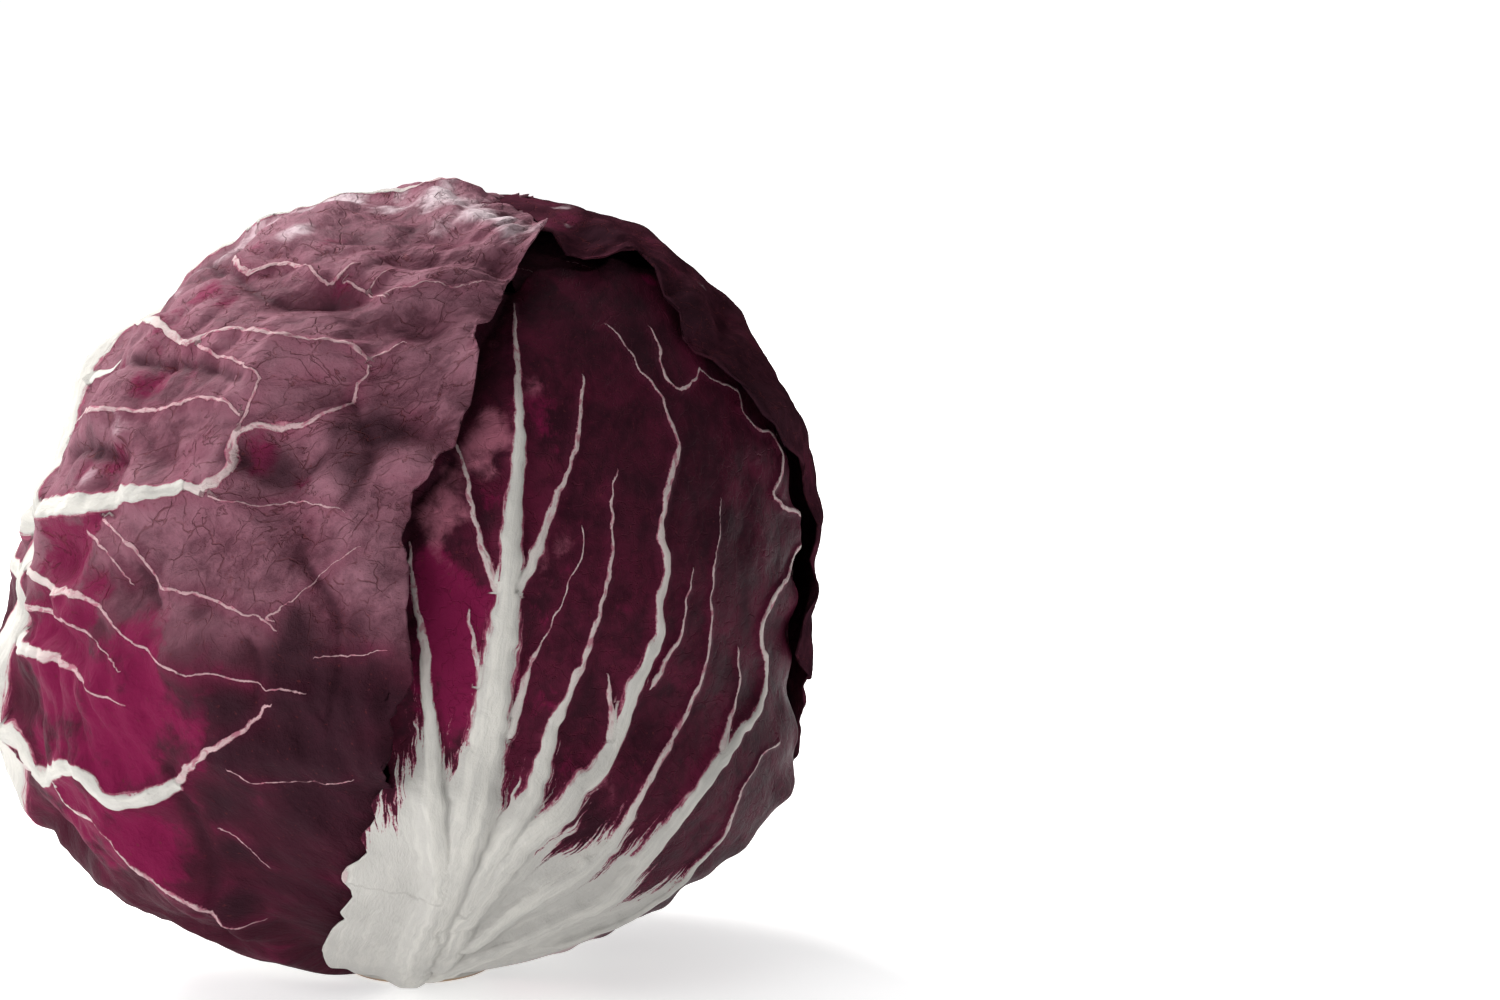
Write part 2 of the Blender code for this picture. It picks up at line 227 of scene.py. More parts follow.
LEAVES = {
    "leaf_left": dict(
        PLAIN_LEAF, slot="dusty_leaf", azimuth=-94, lean=0.30, depth=(0.0, 0.0), rise=(0, 1),
        tuck=(0.0034, 77, 69, -39, -30), bumps=LEFT_BUMPS, lift=(0.0010, 0.0012),
        grid=(300, 300), middle=0.30, crumple=1.0, ribs=0.6, frill=0.5, scallop=0.0, film_and_sheen=(86, 101),
        tip_sink=0.0026, white_top=(28, 0.0), mid_half=0.0055,
        midrib=(
            (12, -4), (30, -6), (45, -4), (55, 2), (62, 9), (70, 10), (78, 11), (85, 9), (92, 2),
            (100, -7), (110, -11), (125, -10), (140, -6), (156, -2),
        ),
        rows=(
            (12.4, 66, 56), (22, 82, 78), (34, 90, 90), (46, 94, 96), (56, 96, 98), (65, 97, 92),
            (70, 97, 79), (73, 97, 77), (77.5, 96, 77), (81.3, 96, 76), (85, 95, 77), (88, 95, 76.3),
            (94, 94, 74.3), (99.5, 93, 72.3), (104.3, 92, 70.3), (108, 91, 69.6), (115, 89, 71.2),
            (119, 87, 70.9), (125.4, 83, 69.7), (130.6, 79, 66), (134.7, 75, 66), (141, 67, 63),
            (147.8, 57, 60.3), (152, 50, 57), (155, 43, 53), (157, 36, 44), (158.4, 28, 34),
            (159.4, 20, 22),
        ),
    ),
    "leaf_back_right": dict(
        PLAIN_LEAF, slot="dusty_leaf", azimuth=140, lean=0.25, depth=(1.1, 1.1), rise=(0, 1),
        lift=(0.0010, 0.0), grid=(240, 220), crumple=0.55, frill=0.5, covered=(0.0022, 24, 36),
        white_top=(40, 0.0), mid_half=0.0070,
        midrib=((12, 0), (60, 1), (100, -1), (142, 0)),
        rows=(
            (12.4, 44, 56), (22, 46, 70), (34, 44, 76), (46, 42, 80), (58, 40, 82), (68, 43, 82),
            (73, 52, 80), (79, 57, 80), (85, 46, 80), (92, 46, 80), (102, 50, 78), (112, 54, 76),
            (121, 53, 72), (126, 47, 68), (131, 41, 62), (136, 51, 55), (141, 46, 46), (146, 32, 32),
            (149, 18, 18),
        ),
    ),
    "leaf_front": dict(
        PLAIN_LEAF, slot="glossy_leaf", azimuth=10.5, lean=0.0, sway=0.2, depth=(2.1, 0.35),
        rise=(80, 67), grid=(380, 216), middle=0.24, crumple=0.15, frill=0.1, scallop=0.0,
        white_top=(77, 0.48),
        rows=(
            (12.4, 14, 52), (20, 19, 58), (29, 23, 64), (37, 23, 67), (41, 20.9, 67.5), (45, 18.7, 68),
            (49, 15.4, 69), (51.2, 16.2, 69.5), (54, 14.2, 70), (57, 16.3, 70), (59.5, 15.6, 70.5),
            (62, 12.6, 71), (65, 13.9, 71), (67.7, 12.0, 70), (70, 12.9, 69), (73, 11.2, 68),
            (78, 14, 67), (86, 26, 66), (96, 30, 65), (108, 29, 63), (120, 27, 60),
            (130, 27, 58), (138, 28, 56), (144, 26, 52), (148, 20, 40),
        ),
    ),
    "leaf_right": dict(
        PLAIN_LEAF, slot="glossy_leaf", azimuth=88, lean=0.12, depth=(3.1, 2.0), rise=(72, 52),
        grid=(160, 140), ribs=0.3, covered=(0.0014, 6, 18), mid_half=0.0050,
        midrib=((13, 6), (60, 22), (100, 22), (146, 8)),
        rows=(
            (13.2, 50, 54), (26, 60, 66), (42, 62, 70), (58, 64, 74), (74, 66, 76), (90, 66, 76),
            (106, 64, 72), (122, 58, 64), (136, 48, 52), (147, 32, 34), (153, 14, 16),
        ),
    ),
    "leaf_back_left": dict(
        PLAIN_LEAF, slot="glossy_leaf", azimuth=-150, lean=0.12, depth=(4.1, 2.9), rise=(56, 36),
        grid=(120, 120), mid_half=0.0065,
        midrib=((14, 0), (60, 1), (100, -1), (148, 0)),
        rows=(
            (13.9, 50, 50), (26, 64, 60), (42, 72, 68), (58, 76, 72), (74, 78, 74), (90, 78, 74),
            (106, 74, 70), (122, 66, 62), (136, 54, 50), (148, 36, 34), (156, 16, 14),
        ),
    ),
    "leaf_inner_left": dict(
        PLAIN_LEAF, slot="inner_leaf", azimuth=-50, lean=0.16, depth=(5.2, 4.7), rise=(44, 20),
        grid=(112, 104), mid_half=0.0055,
        midrib=((15, 0), (60, 1), (100, -1), (148, 0)),
        rows=(
            (14.8, 48, 48), (28, 60, 58), (46, 68, 66), (64, 74, 70), (82, 76, 72), (100, 74, 70),
            (118, 66, 62), (134, 54, 50), (147, 36, 32), (156, 16, 14),
        ),
    ),
    "leaf_inner_back": dict(
        PLAIN_LEAF, slot="inner_leaf", azimuth=165, lean=0.16, depth=(6.2, 5.8), rise=(44, 20),
        grid=(112, 104), mid_half=0.0055,
        midrib=((15, 0), (60, 1), (100, -1), (148, 0)),
        rows=(
            (15.6, 46, 46), (28, 58, 58), (46, 66, 68), (64, 70, 72), (82, 72, 74), (100, 70, 72),
            (118, 62, 66), (134, 50, 54), (147, 34, 36), (157, 14, 16),
        ),
    ),
}

# Veins by the pixels that they run through, and their widths in pixels, evenly spaced along them.
LEFT_VEINS_FROM_MIDRIB = (
    (((29, 520), (86, 506), (129, 497), (155, 497), (172, 492), (187, 487)), (30, 24, 20, 13)),
    (((118, 345), (135, 337), (149, 328), (161, 331), (178, 339), (198, 345), (207, 339), (224, 337),
      (247, 337), (267, 342), (290, 347), (316, 349), (344, 348), (359, 354), (370, 364)), (12, 11, 8, 6, 4)),
    (((72, 437), (89, 423), (115, 414), (138, 410), (166, 408), (184, 403), (201, 400), (218, 404),
      (235, 411), (247, 420)), (10, 7, 4, 3)),
    (((19, 573), (45, 572), (64, 589), (86, 596), (108, 608), (121, 628), (143, 643), (166, 656),
      (191, 669)), (12, 10, 7, 3, 2)),
    (((13, 592), (32, 602), (64, 613), (86, 628), (108, 650), (124, 669)), (9, 7, 3, 1.5)),
    (((6, 647), (38, 648), (64, 659), (86, 675), (102, 690), (128, 701)), (14, 10, 5, 2)),
    (((26, 749), (48, 758), (80, 761), (99, 768), (112, 787), (134, 797), (159, 793), (174, 787)),
     (20, 16, 19, 15)),
    (((29, 765), (48, 784), (73, 800), (105, 825), (128, 848), (159, 867), (191, 886), (217, 903),
      (233, 910), (268, 913)), (9, 9, 7, 6, 3)),
)
LEFT_VEINS = (
    (((187, 487), (207, 492), (227, 480), (237, 471), (235, 451), (244, 437), (264, 431), (287, 428),
      (313, 427), (330, 417), (344, 408), (354, 400), (356, 388), (365, 377), (370, 364)),
     (11, 8, 7, 6, 4, 3)),
    (((370, 364), (387, 354), (405, 345)), (2.5, 1.5)),
    (((201, 348), (215, 357), (235, 365), (253, 377), (267, 388), (261, 403), (253, 414), (247, 426),
      (244, 437)), (4, 3, 3)),
    (((236, 262), (255, 272), (276, 262), (299, 265), (316, 276), (330, 285), (342, 279), (356, 273)),
     (7, 6, 4, 3)),
    (((347, 282), (365, 291), (373, 296), (385, 305)), (3, 2)),
    (((385, 302), (416, 300), (430, 296), (452, 297), (480, 290)), (2.5, 1.5)),
    (((365, 291), (393, 276)), (2, 1.5)),
    (((150, 795), (172, 786), (190, 768), (210, 749), (236, 734), (255, 720), (271, 704)), (11, 8, 6, 3)),
    (((105, 519), (140, 548), (156, 573), (166, 586), (191, 592), (223, 602), (249, 613), (268, 618),
      (277, 628)), (4, 4, 3, 2)),
    (((271, 618), (303, 592), (335, 564), (362, 548)), (2, 1.5, 1)),
    (((89, 532), (108, 548), (118, 564), (128, 583)), (3, 2)),
    (((230, 768), (255, 781), (287, 783), (328, 781), (352, 776)), (2, 1.5)),
    (((223, 827), (239, 835), (252, 846), (270, 866)), (2, 1.5)),
    (((319, 656), (354, 655), (385, 648)), (1.5, 1)),
    (((187, 487), (215, 500), (250, 506), (300, 503), (345, 512)), (3, 2, 1.2)),
    (((191, 669), (225, 672), (262, 684), (305, 690)), (2, 1.5)),
)
FRONT_VEINS = (
    (((408, 984), (418, 955), (430, 930), (455, 870), (473, 800), (485, 740), (495, 680), (503, 620),
      (508, 570), (510, 530), (516, 480), (518, 440), (517, 400), (515, 350), (514, 300)),
     (38, 37, 36, 36, 36, 40, 40, 34, 24, 17, 11, 6, 2)),
    (((409, 544), (411, 576), (418, 615), (425, 650), (426, 684), (430, 718), (434, 806), (441, 856),
      (437, 930)), (3, 6, 9, 13, 19, 26, 28, 28, 28)),
    (((457, 440), (464, 466), (469, 489), (474, 519), (480, 544), (487, 567), (495, 590)), (3, 5, 9)),
    (((468, 613), (472, 638), (476, 661), (480, 690)), (3, 8)),
    (((582, 378), (581, 405), (575, 435), (569, 465), (557, 495), (543, 528), (536, 549), (515, 590)),
     (3, 4, 6, 9, 13)),
    (((583, 528), (582, 553), (572, 576), (554, 617), (540, 645)), (1.5, 1.5)),
    (((540, 645), (528, 663), (519, 695), (508, 730)), (3, 9, 12)),
    (((614, 473), (611, 489), (611, 544), (608, 569), (600, 604), (590, 638), (577, 670), (565, 695),
      (554, 716), (545, 748), (532, 790), (512, 823), (491, 856), (440, 960)),
     (2, 3.5, 5, 8, 13, 20, 22, 24, 26, 28)),
    (((660, 399), (665, 417), (675, 441), (673, 462), (664, 490), (660, 516), (658, 538), (664, 555),
      (664, 574), (658, 592), (655, 609), (658, 629), (651, 648), (640, 668), (629, 689), (621, 718),
      (610, 744), (593, 772), (581, 781), (563, 805), (528, 833), (496, 872), (458, 921)),
     (3, 5, 7, 8, 10, 10, 15, 19, 18, 22, 30, 30, 30, 30)),
    (((606, 327), (620, 342), (632, 358), (638, 373), (651, 385), (660, 399)), (2, 3, 4)),
    (((648, 330), (657, 345), (659, 366), (665, 382), (677, 390), (698, 370)), (3, 4, 3)),
    (((691, 570), (690, 583), (682, 605), (681, 624), (677, 639), (668, 650), (658, 668), (651, 683)),
     (2, 4, 8)),
    (((606, 676), (608, 696), (610, 717), (608, 744)), (2, 6, 12)),
    (((720, 501), (717, 533), (712, 570), (710, 603), (709, 635), (701, 668), (690, 696), (677, 722),
      (668, 739), (658, 759), (647, 778), (640, 791), (626, 816), (609, 840), (581, 865), (546, 886),
      (510, 910), (468, 942)), (1.5, 2, 3, 4.5, 5, 6, 8, 12, 20, 24, 26, 26)),
    (((698, 370), (719, 385), (737, 393), (740, 411), (752, 429), (767, 435), (776, 453), (777, 474),
      (771, 495), (779, 505), (792, 514), (798, 527), (796, 544), (790, 561), (783, 579), (774, 590),
      (766, 607), (759, 624), (759, 648), (763, 658), (761, 685), (754, 706), (740, 726), (726, 747),
      (711, 765), (694, 788), (676, 810), (658, 833), (640, 854), (600, 895), (540, 925), (470, 955),
      (430, 972)), (2, 3, 4, 4, 6, 8, 6, 8, 10, 14, 22, 29, 30, 30, 28, 26)),
    (((738, 650), (737, 674), (733, 696), (727, 718), (718, 745)), (3, 5, 9)),
    (((772, 738), (763, 751), (751, 770), (740, 786), (733, 804), (727, 819), (719, 836), (702, 854),
      (685, 872), (667, 886), (640, 904), (560, 940)), (1.5, 3, 6, 12, 16, 18, 18)),
)

# Sharp valleys of the left leaf by pixel, with widths; each is sunk in and darkened with painted shadow.
LEFT_SHADED_CREASES = (
    (((168, 772), (174, 787), (191, 822), (204, 848), (217, 876), (218, 903), (228, 940)), (5, 7, 7, 4)),
    (((80, 456), (90, 450), (100, 449), (115, 457), (122, 462)), (3, 8, 3)),
    (((352, 398), (362, 420), (372, 440), (368, 470), (350, 500)), (3, 8, 4)),
    (((240, 452), (262, 474), (285, 482), (310, 470), (335, 452)), (3, 7, 3)),
    (((140, 570), (152, 585), (158, 604)), (3, 7, 3)),
    (((205, 258), (232, 272), (262, 292), (300, 300), (330, 296)), (3, 5, 2)),
    (((120, 372), (160, 362), (200, 366), (245, 384)), (2, 5, 2)),
    (((300, 560), (330, 600), (340, 660), (330, 720)), (2, 4, 2)),
    (((250, 640), (262, 672), (255, 700)), (2, 5, 2)),
)

# The strip of painted shadow on the front leaf along the left leaf's margin, also sunk in as a shallow
# valley.
FRONT_SHADOW_CREASES = (
    (((512, 285), (497, 318), (481, 345), (478, 372), (471, 402), (457, 436), (452, 458), (430, 484),
      (415, 500), (409, 530), (408, 568), (410, 620)), (7, 9, 8, 7)),
)

# Patches of colour by pixel, radius in pixels and strength: magenta where the bloom is rubbed off,
# painted shade in hollows and on smooth skin turned from the light, painted highlights where the skin catches
# the light.
LEFT_MAGENTA = (
    (150, 300, 30, 0.5), (290, 222, 30, 0.6), (232, 300, 24, 0.5), (105, 392, 40, 0.8), (140, 385, 30, 0.6),
    (180, 330, 40, 0.45), (260, 250, 36, 0.45), (210, 300, 30, 0.6), (120, 460, 30, 0.5), (330, 330, 24, 0.3),
    (262, 458, 26, 0.7), (300, 488, 20, 0.5), (70, 560, 66, 1.0), (60, 640, 76, 0.9), (120, 720, 72, 0.9),
    (70, 800, 80, 0.9), (140, 850, 60, 0.8), (180, 700, 40, 0.45), (232, 600, 24, 0.3), (150, 640, 40, 0.5),
    (345, 285, 24, 0.5), (330, 245, 26, 0.4), (190, 372, 34, 0.4), (180, 480, 20, 0.4),
)
LEFT_PAINTED_SHADE = (
    (374, 432, 26, 1.0), (350, 474, 24, 0.6), (285, 476, 26, 0.8), (238, 458, 18, 0.7), (152, 585, 18, 0.6),
    (98, 452, 11, 1.0), (226, 800, 20, 0.8), (236, 850, 22, 0.8), (242, 895, 24, 0.7), (222, 750, 18, 0.7),
    (212, 705, 18, 0.5), (300, 655, 30, 0.7), (330, 790, 110, 0.7), (350, 690, 60, 0.6), (300, 900, 80, 0.45),
    (410, 225, 20, 0.5), (300, 740, 70, 0.7), (170, 400, 22, 0.3), (150, 460, 24, 0.3),
)
LEFT_PAINTED_HIGHLIGHTS = (
    (240, 234, 44, 0.6), (212, 262, 26, 0.55), (285, 292, 26, 0.35), (330, 203, 30, 0.65),
    (385, 205, 30, 0.65),
    (440, 200, 36, 0.85), (485, 212, 30, 0.8), (525, 230, 22, 0.5), (110, 350, 20, 0.5), (122, 425, 24, 0.25),
    (95, 475, 18, 0.25), (300, 240, 24, 0.4), (430, 230, 26, 0.45), (40, 520, 16, 0.4), (180, 300, 20, 0.25),
)
# The strong small patch at pixel (648, 280) is a painted glow of light shining through the back leaf's thin
# margin.
FRONT_MAGENTA = (
    (447, 650, 40, 1.0), (455, 700, 34, 0.9), (442, 595, 34, 0.9), (430, 560, 22, 0.7), (556, 570, 34, 0.3),
    (535, 400, 30, 0.5), (620, 610, 22, 0.3), (566, 765, 30, 0.4), (492, 500, 16, 0.5), (560, 440, 40, 0.25),
    (640, 780, 40, 0.3), (700, 780, 40, 0.25), (540, 700, 30, 0.4), (648, 280, 12, 0.9), (460, 620, 30, 0.8),
)
FRONT_PAINTED_SHADE = (
    (690, 480, 90, 0.5), (610, 470, 60, 0.35), (640, 340, 70, 0.5), (590, 250, 50, 0.9), (740, 560, 60, 0.5),
    (488, 520, 14, 0.6), (560, 320, 60, 0.3), (740, 700, 50, 0.4),
)
FRONT_PAINTED_HIGHLIGHTS = (
    (497, 340, 14, 0.5), (502, 362, 10, 0.4), (488, 416, 16, 0.8), (480, 438, 20, 0.9), (476, 464, 18, 0.8),
    (496, 440, 14, 0.7), (490, 470, 12, 0.6), (448, 468, 16, 0.9), (440, 490, 18, 0.95), (428, 512, 17, 0.85),
    (455, 486, 16, 0.8), (448, 512, 14, 0.6), (432, 538, 18, 0.6), (440, 562, 16, 0.4), (424, 580, 14, 0.3),
    (533, 388, 18, 0.5), (562, 545, 18, 0.3), (546, 572, 16, 0.3), (600, 800, 26, 0.3), (560, 730, 22, 0.3),
)
BACK_PAINTED_SHADE = (
    (600, 232, 26, 0.8), (650, 262, 30, 0.7), (690, 320, 34, 0.8), (740, 390, 40, 0.8), (780, 450, 40, 0.8),
    (805, 530, 36, 0.8), (815, 610, 36, 0.8), (810, 680, 36, 0.6),
)
BACK_PAINTED_HIGHLIGHTS = (
    (560, 206, 14, 0.5), (584, 205, 10, 0.5), (572, 226, 8, 0.3), (590, 246, 6, 0.4), (704, 284, 8, 0.4),
)


def ease(value, start, end):
    """0 before start, 1 after end, with a smooth run between them."""
    share = np.clip((value - start) / (end - start), 0.0, 1.0)
    return share * share * (3.0 - 2.0 * share)


def direction(polar, azimuth):
    """Unit vectors from the head's centre."""
    polar, azimuth = np.radians(polar), np.radians(azimuth)
    sideways = np.sin(polar)
    return np.stack([sideways * np.sin(azimuth), -sideways * np.cos(azimuth), -np.cos(polar)], axis=-1)


def angles(toward):
    """Polar angle and azimuth of unit vectors."""
    polar = np.degrees(np.arccos(np.clip(-toward[..., 2], -1.0, 1.0)))
    return polar, np.degrees(np.arctan2(toward[..., 0], -toward[..., 1]))


def swelling(toward, bumps):
    """Height of a list of round bumps, each a polar angle, azimuth, height and spread."""
    height = np.zeros(toward.shape[:-1])
    for polar, azimuth, top, spread in bumps:
        turn = np.degrees(np.arccos(np.clip(toward @ direction(polar, azimuth), -1.0, 1.0)))
        height += top * np.exp(-((turn / spread) ** 2))
    return height


def head_round(toward):
    """Distance from the centre to the head's outermost round."""
    return HEAD_RADIUS + swelling(toward, SWELLINGS + CRUMPLES)


def leaning(polar, azimuth, lean, midrib):
    """Unit vectors for a leaf's own angles, with the leaf slid over the crown by its lean."""
    along = np.tan(np.radians(polar) / 2.0) * np.exp(1j * np.radians(azimuth))
    shift = 1.0 - lean * along
    size = abs(along) ** 2 + abs(shift) ** 2
    flat = 2.0 * along * np.conj(shift) / size * np.exp(1j * np.radians(midrib))
    return np.stack([flat.imag, -flat.real, -(abs(shift) ** 2 - abs(along) ** 2) / size], axis=-1)


def flowing(stations, values, at):
    """A smooth curve through values given at stations."""
    slopes = np.gradient(values, stations)
    cell = np.clip(np.searchsorted(stations, at) - 1, 0, len(stations) - 2)
    width = stations[cell + 1] - stations[cell]
    share = np.clip((at - stations[cell]) / width, 0.0, 1.0)
    rise = ease(share, 0.0, 1.0)
    bend = share * (1.0 - share) * width
    curve = values[cell] + (values[cell + 1] - values[cell]) * rise
    return curve + bend * ((1.0 - share) * slopes[cell] - share * slopes[cell + 1])


def waves(places, wavelength, seed, count=9):
    """A smooth random field between about -1 and 1, with its wavelength in the places' units."""
    chance = np.random.default_rng(seed)
    field = np.zeros(places.shape[:-1])
    for _ in range(count):
        heading = chance.normal(size=places.shape[-1])
        heading *= 2.0 * np.pi / wavelength / np.linalg.norm(heading) * chance.uniform(0.7, 1.35)
        field += np.sin(places @ heading + chance.uniform(0.0, 6.283))
    return field * 0.98 / count ** 0.5


def tucked(leaf, toward):
    """1 where a leaf's margin has dipped under its neighbour, 0 elsewhere."""
    if not leaf["tuck"]:
        return np.zeros(toward.shape[:-1])
    polar, azimuth = angles(toward)
    _, polar_from, polar_to, azimuth_from, azimuth_to = leaf["tuck"]
    under = ease(-polar, -polar_from, -polar_to) * ease(azimuth, azimuth_from, azimuth_to)
    return under * (np.abs(azimuth) < 90.0)


def leaf_distance(leaf, toward):
    """Distance from the centre to a leaf's smooth outer face."""
    polar, _ = angles(toward)
    upper, base = leaf["depth"]
    depth = LAYER * (upper + (base - upper) * ease(-polar, -leaf["rise"][0], -leaf["rise"][1]))
    if leaf["tuck"]:
        depth = depth + leaf["tuck"][0] * tucked(leaf, toward)
    return head_round(toward) - depth + swelling(toward, leaf["bumps"])


class PhotoView:
    """The photograph's camera, and where its pixels meet the head."""

    def __init__(self):
        lift, yaw, pitch = np.radians((CAMERA_ELEVATION, CAMERA_YAW, CAMERA_PITCH))
        self.place = CENTRE - CAMERA_DISTANCE * np.array([0.0, np.cos(lift), -np.sin(lift)])
        self.reach = LENS / SENSOR * PHOTO_SIZE[0]
        self.forward = np.array([np.sin(yaw) * np.cos(pitch), np.cos(yaw) * np.cos(pitch), np.sin(pitch)])
        self.right = np.array([np.cos(yaw), -np.sin(yaw), 0.0])
        self.up = np.cross(self.right, self.forward)

    def meets(self, leaf, pixels):
        """Unit vectors from the head's centre to where pixels fall on a leaf."""
        pixels = np.asarray(pixels, dtype=float)
        across = (pixels[:, :1] - PHOTO_SIZE[0] / 2) / self.reach
        down = (pixels[:, 1:] - PHOTO_SIZE[1] / 2) / self.reach
        ray = self.forward + across * self.right - down * self.up
        ray /= np.linalg.norm(ray, axis=1, keepdims=True)
        start = self.place - CENTRE
        nearest = ray @ start
        distance = np.full(len(pixels), HEAD_RADIUS)
        for _ in range(6):
            inside = np.maximum(nearest ** 2 - (start @ start - distance ** 2), 0.0)
            hit = start + (-nearest - np.sqrt(inside))[:, None] * ray
            toward = hit / np.linalg.norm(hit, axis=1, keepdims=True)
            distance = leaf_distance(leaf, toward)
        return toward


VIEW = PhotoView()


def smooth_route(points, widths):
    """Points along a smooth curve through the given unit vectors, with half widths in metres."""
    points = np.asarray(points)
    steps = np.linalg.norm(np.diff(points, axis=0), axis=1) * HEAD_RADIUS
    length = np.concatenate([[0.0], np.cumsum(np.maximum(steps, 1e-6))])
    count = max(3, int(length[-1] / VEIN_SPACING) + 1)
    at = np.linspace(0.0, length[-1], count)
    route = np.stack([flowing(length, points[:, i], at) for i in range(3)], axis=1)
    route *= HEAD_RADIUS / np.linalg.norm(route, axis=1, keepdims=True)
    half = np.interp(at, np.linspace(0.0, length[-1], len(widths)), widths) / 2.0
    return route, half


def traced_veins(leaf, veins, midrib=None):
    """Routes of the veins that the photograph shows on a leaf, led out of its midrib if that is given."""
    routes = []
    for pixels, widths in veins:
        toward = VIEW.meets(leaf, pixels)
        widths = np.array(widths) * PIXEL_SIZE
        if midrib is not None:
            nearest = np.argmin(np.linalg.norm(midrib - toward[0] * HEAD_RADIUS, axis=1))
            root = midrib[max(0, nearest - 1)]
            toward = np.concatenate([root[None] / HEAD_RADIUS, toward])
            widths = np.concatenate([widths[:1] * 1.3, widths])
        routes.append(smooth_route(toward, widths))
    return routes


def grown_veins(leaf, seed, sides=(-1, 1), laterals=8, half=0.0007):
    """A midrib with side veins that fan out and fork, by a rule."""
    chance = np.random.default_rng(seed)
    rows = np.array(leaf["rows"], dtype=float)
    low, high = rows[0, 0], rows[-1, 0]
    routes = []

    def own(polar, azimuth):
        swayed = azimuth + leaf["sway"] * (polar - 90.0)
        return leaning(polar, swayed, leaf["lean"], leaf["azimuth"])

    stations, bends = np.array(leaf["midrib"], dtype=float).T
    polar = np.linspace(stations[0], stations[-1], 40)
    share = np.linspace(0.0, 1.0, VEIN_POINTS)
    widths = 2.0 * leaf["mid_half"] * (1.0 - share ** 1.6) + MIDRIB_THINNEST
    routes.append(smooth_route(own(polar, flowing(stations, bends, polar)), widths))
    for side in sides:
        for number in range(laterals):
            span = high - low - sum(VEIN_CLEAR)
            start = low + VEIN_CLEAR[0] + span * (number + chance.uniform(0.0, 0.6)) / laterals
            climb = chance.uniform(*VEIN_CLIMB)
            margin = np.interp(start + climb, rows[:, 0], rows[:, 1 if side < 0 else 2])
            reach = VEIN_SHARE * side * margin
            stray = np.cumsum(chance.normal(size=VEIN_POINTS)) * VEIN_STRAY[0]
            route_polar = start + climb * share ** 1.2 + stray
            route_azimuth = np.cumsum(chance.normal(size=VEIN_POINTS)) * VEIN_STRAY[1]
            route_azimuth += reach * share + flowing(stations, bends, np.full(1, start)) * (1.0 - share)
            thick = 2.0 * half * (1.25 - 0.5 * number / laterals)
            widths = thick * (1.0 - share) ** 0.8 + VEIN_THINNEST
            widths[0] *= 2.0
            routes.append(smooth_route(own(route_polar, route_azimuth), widths))
            for fork in FORKS:
                away = chance.choice((-1.0, 1.0)) * chance.uniform(*FORK_CLIMB)
                part = np.linspace(0.0, 1.0, FORK_POINTS)
                branch_polar = route_polar[fork] + away * part
                branch_polar += chance.normal(size=FORK_POINTS) * FORK_STRAY[0]
                branch_azimuth = route_azimuth[fork] + side * FORK_REACH * part
                branch_azimuth += chance.normal(size=FORK_POINTS) * FORK_STRAY[1]
                branch_polar[0], branch_azimuth[0] = route_polar[fork], route_azimuth[fork]
                branch = own(np.clip(branch_polar, low, high), branch_azimuth)
                routes.append(smooth_route(branch, (widths[fork] * FORK_WIDTHS[0], FORK_WIDTHS[1])))
    return routes


def vein_field(toward, routes, wander=0.0):
    """The nearest vein to each point: signed distance, plain distance, half width and way along it.

    wander is how far a vein strays from its route in short bends.
    """
    places = toward.reshape(-1, 3) * HEAD_RADIUS
    bends = [waves(places, VEIN_WANDER_LENGTH, 60 + axis) for axis in range(3)]
    places = places + wander * np.stack(bends, axis=1)
    score = np.full(len(places), VEIN_REACH)
    field = np.tile(np.array([VEIN_REACH, VEIN_REACH, VEIN_THINNEST, 0.0]), (len(places), 1))
    for number, (route, widths) in enumerate(routes):
        middle = route.mean(axis=0)
        far = np.linalg.norm(route - middle, axis=1).max() + VEIN_REACH + widths.max()
        near = np.nonzero(np.linalg.norm(places - middle, axis=1) < far)[0]
        if len(near) == 0:
            continue
        local = places[near]
        way = 0.037 * number
        for start, end, wide_start, wide_end in zip(route[:-1], route[1:], widths[:-1], widths[1:]):
            run = end - start
            length = np.linalg.norm(run)
            within = VEIN_REACH + wide_start + length
            close = np.nonzero(np.linalg.norm(local - start, axis=1) < within)[0]
            offset = local[close] - start
            share = np.clip(offset @ run / length ** 2, 0.0, 1.0)
            distance = np.linalg.norm(offset - share[:, None] * run, axis=1)
            wide = wide_start + share * (wide_end - wide_start)
            hand = np.where(np.cross(run, offset) @ start < 0.0, -1.0, 1.0)
            found = np.stack([distance * hand, distance, wide, way + share * length], axis=1)
            index = near[close]
            better = distance - wide < score[index]
            score[index[better]] = (distance - wide)[better]
            field[index[better]] = found[better]
            way += length
    return np.moveaxis(field.reshape(*toward.shape[:-1], 4), -1, 0)


def photo_patches(leaf, toward, patches, seed):
    """Strength of soft patches placed by pixel on a leaf, which run together where they meet."""
    stray = 1.0 + 0.22 * waves(toward * HEAD_RADIUS, 0.008, seed)
    clear = np.ones(toward.shape[:-1])
    for column, row, radius, amount in patches:
        middle = VIEW.meets(leaf, [(column, row)])[0]
        distance = np.linalg.norm(toward - middle, axis=-1) * HEAD_RADIUS * stray
        clear *= 1.0 - amount * np.exp(-((distance / (radius * PIXEL_SIZE)) ** 2))
    return 1.0 - clear


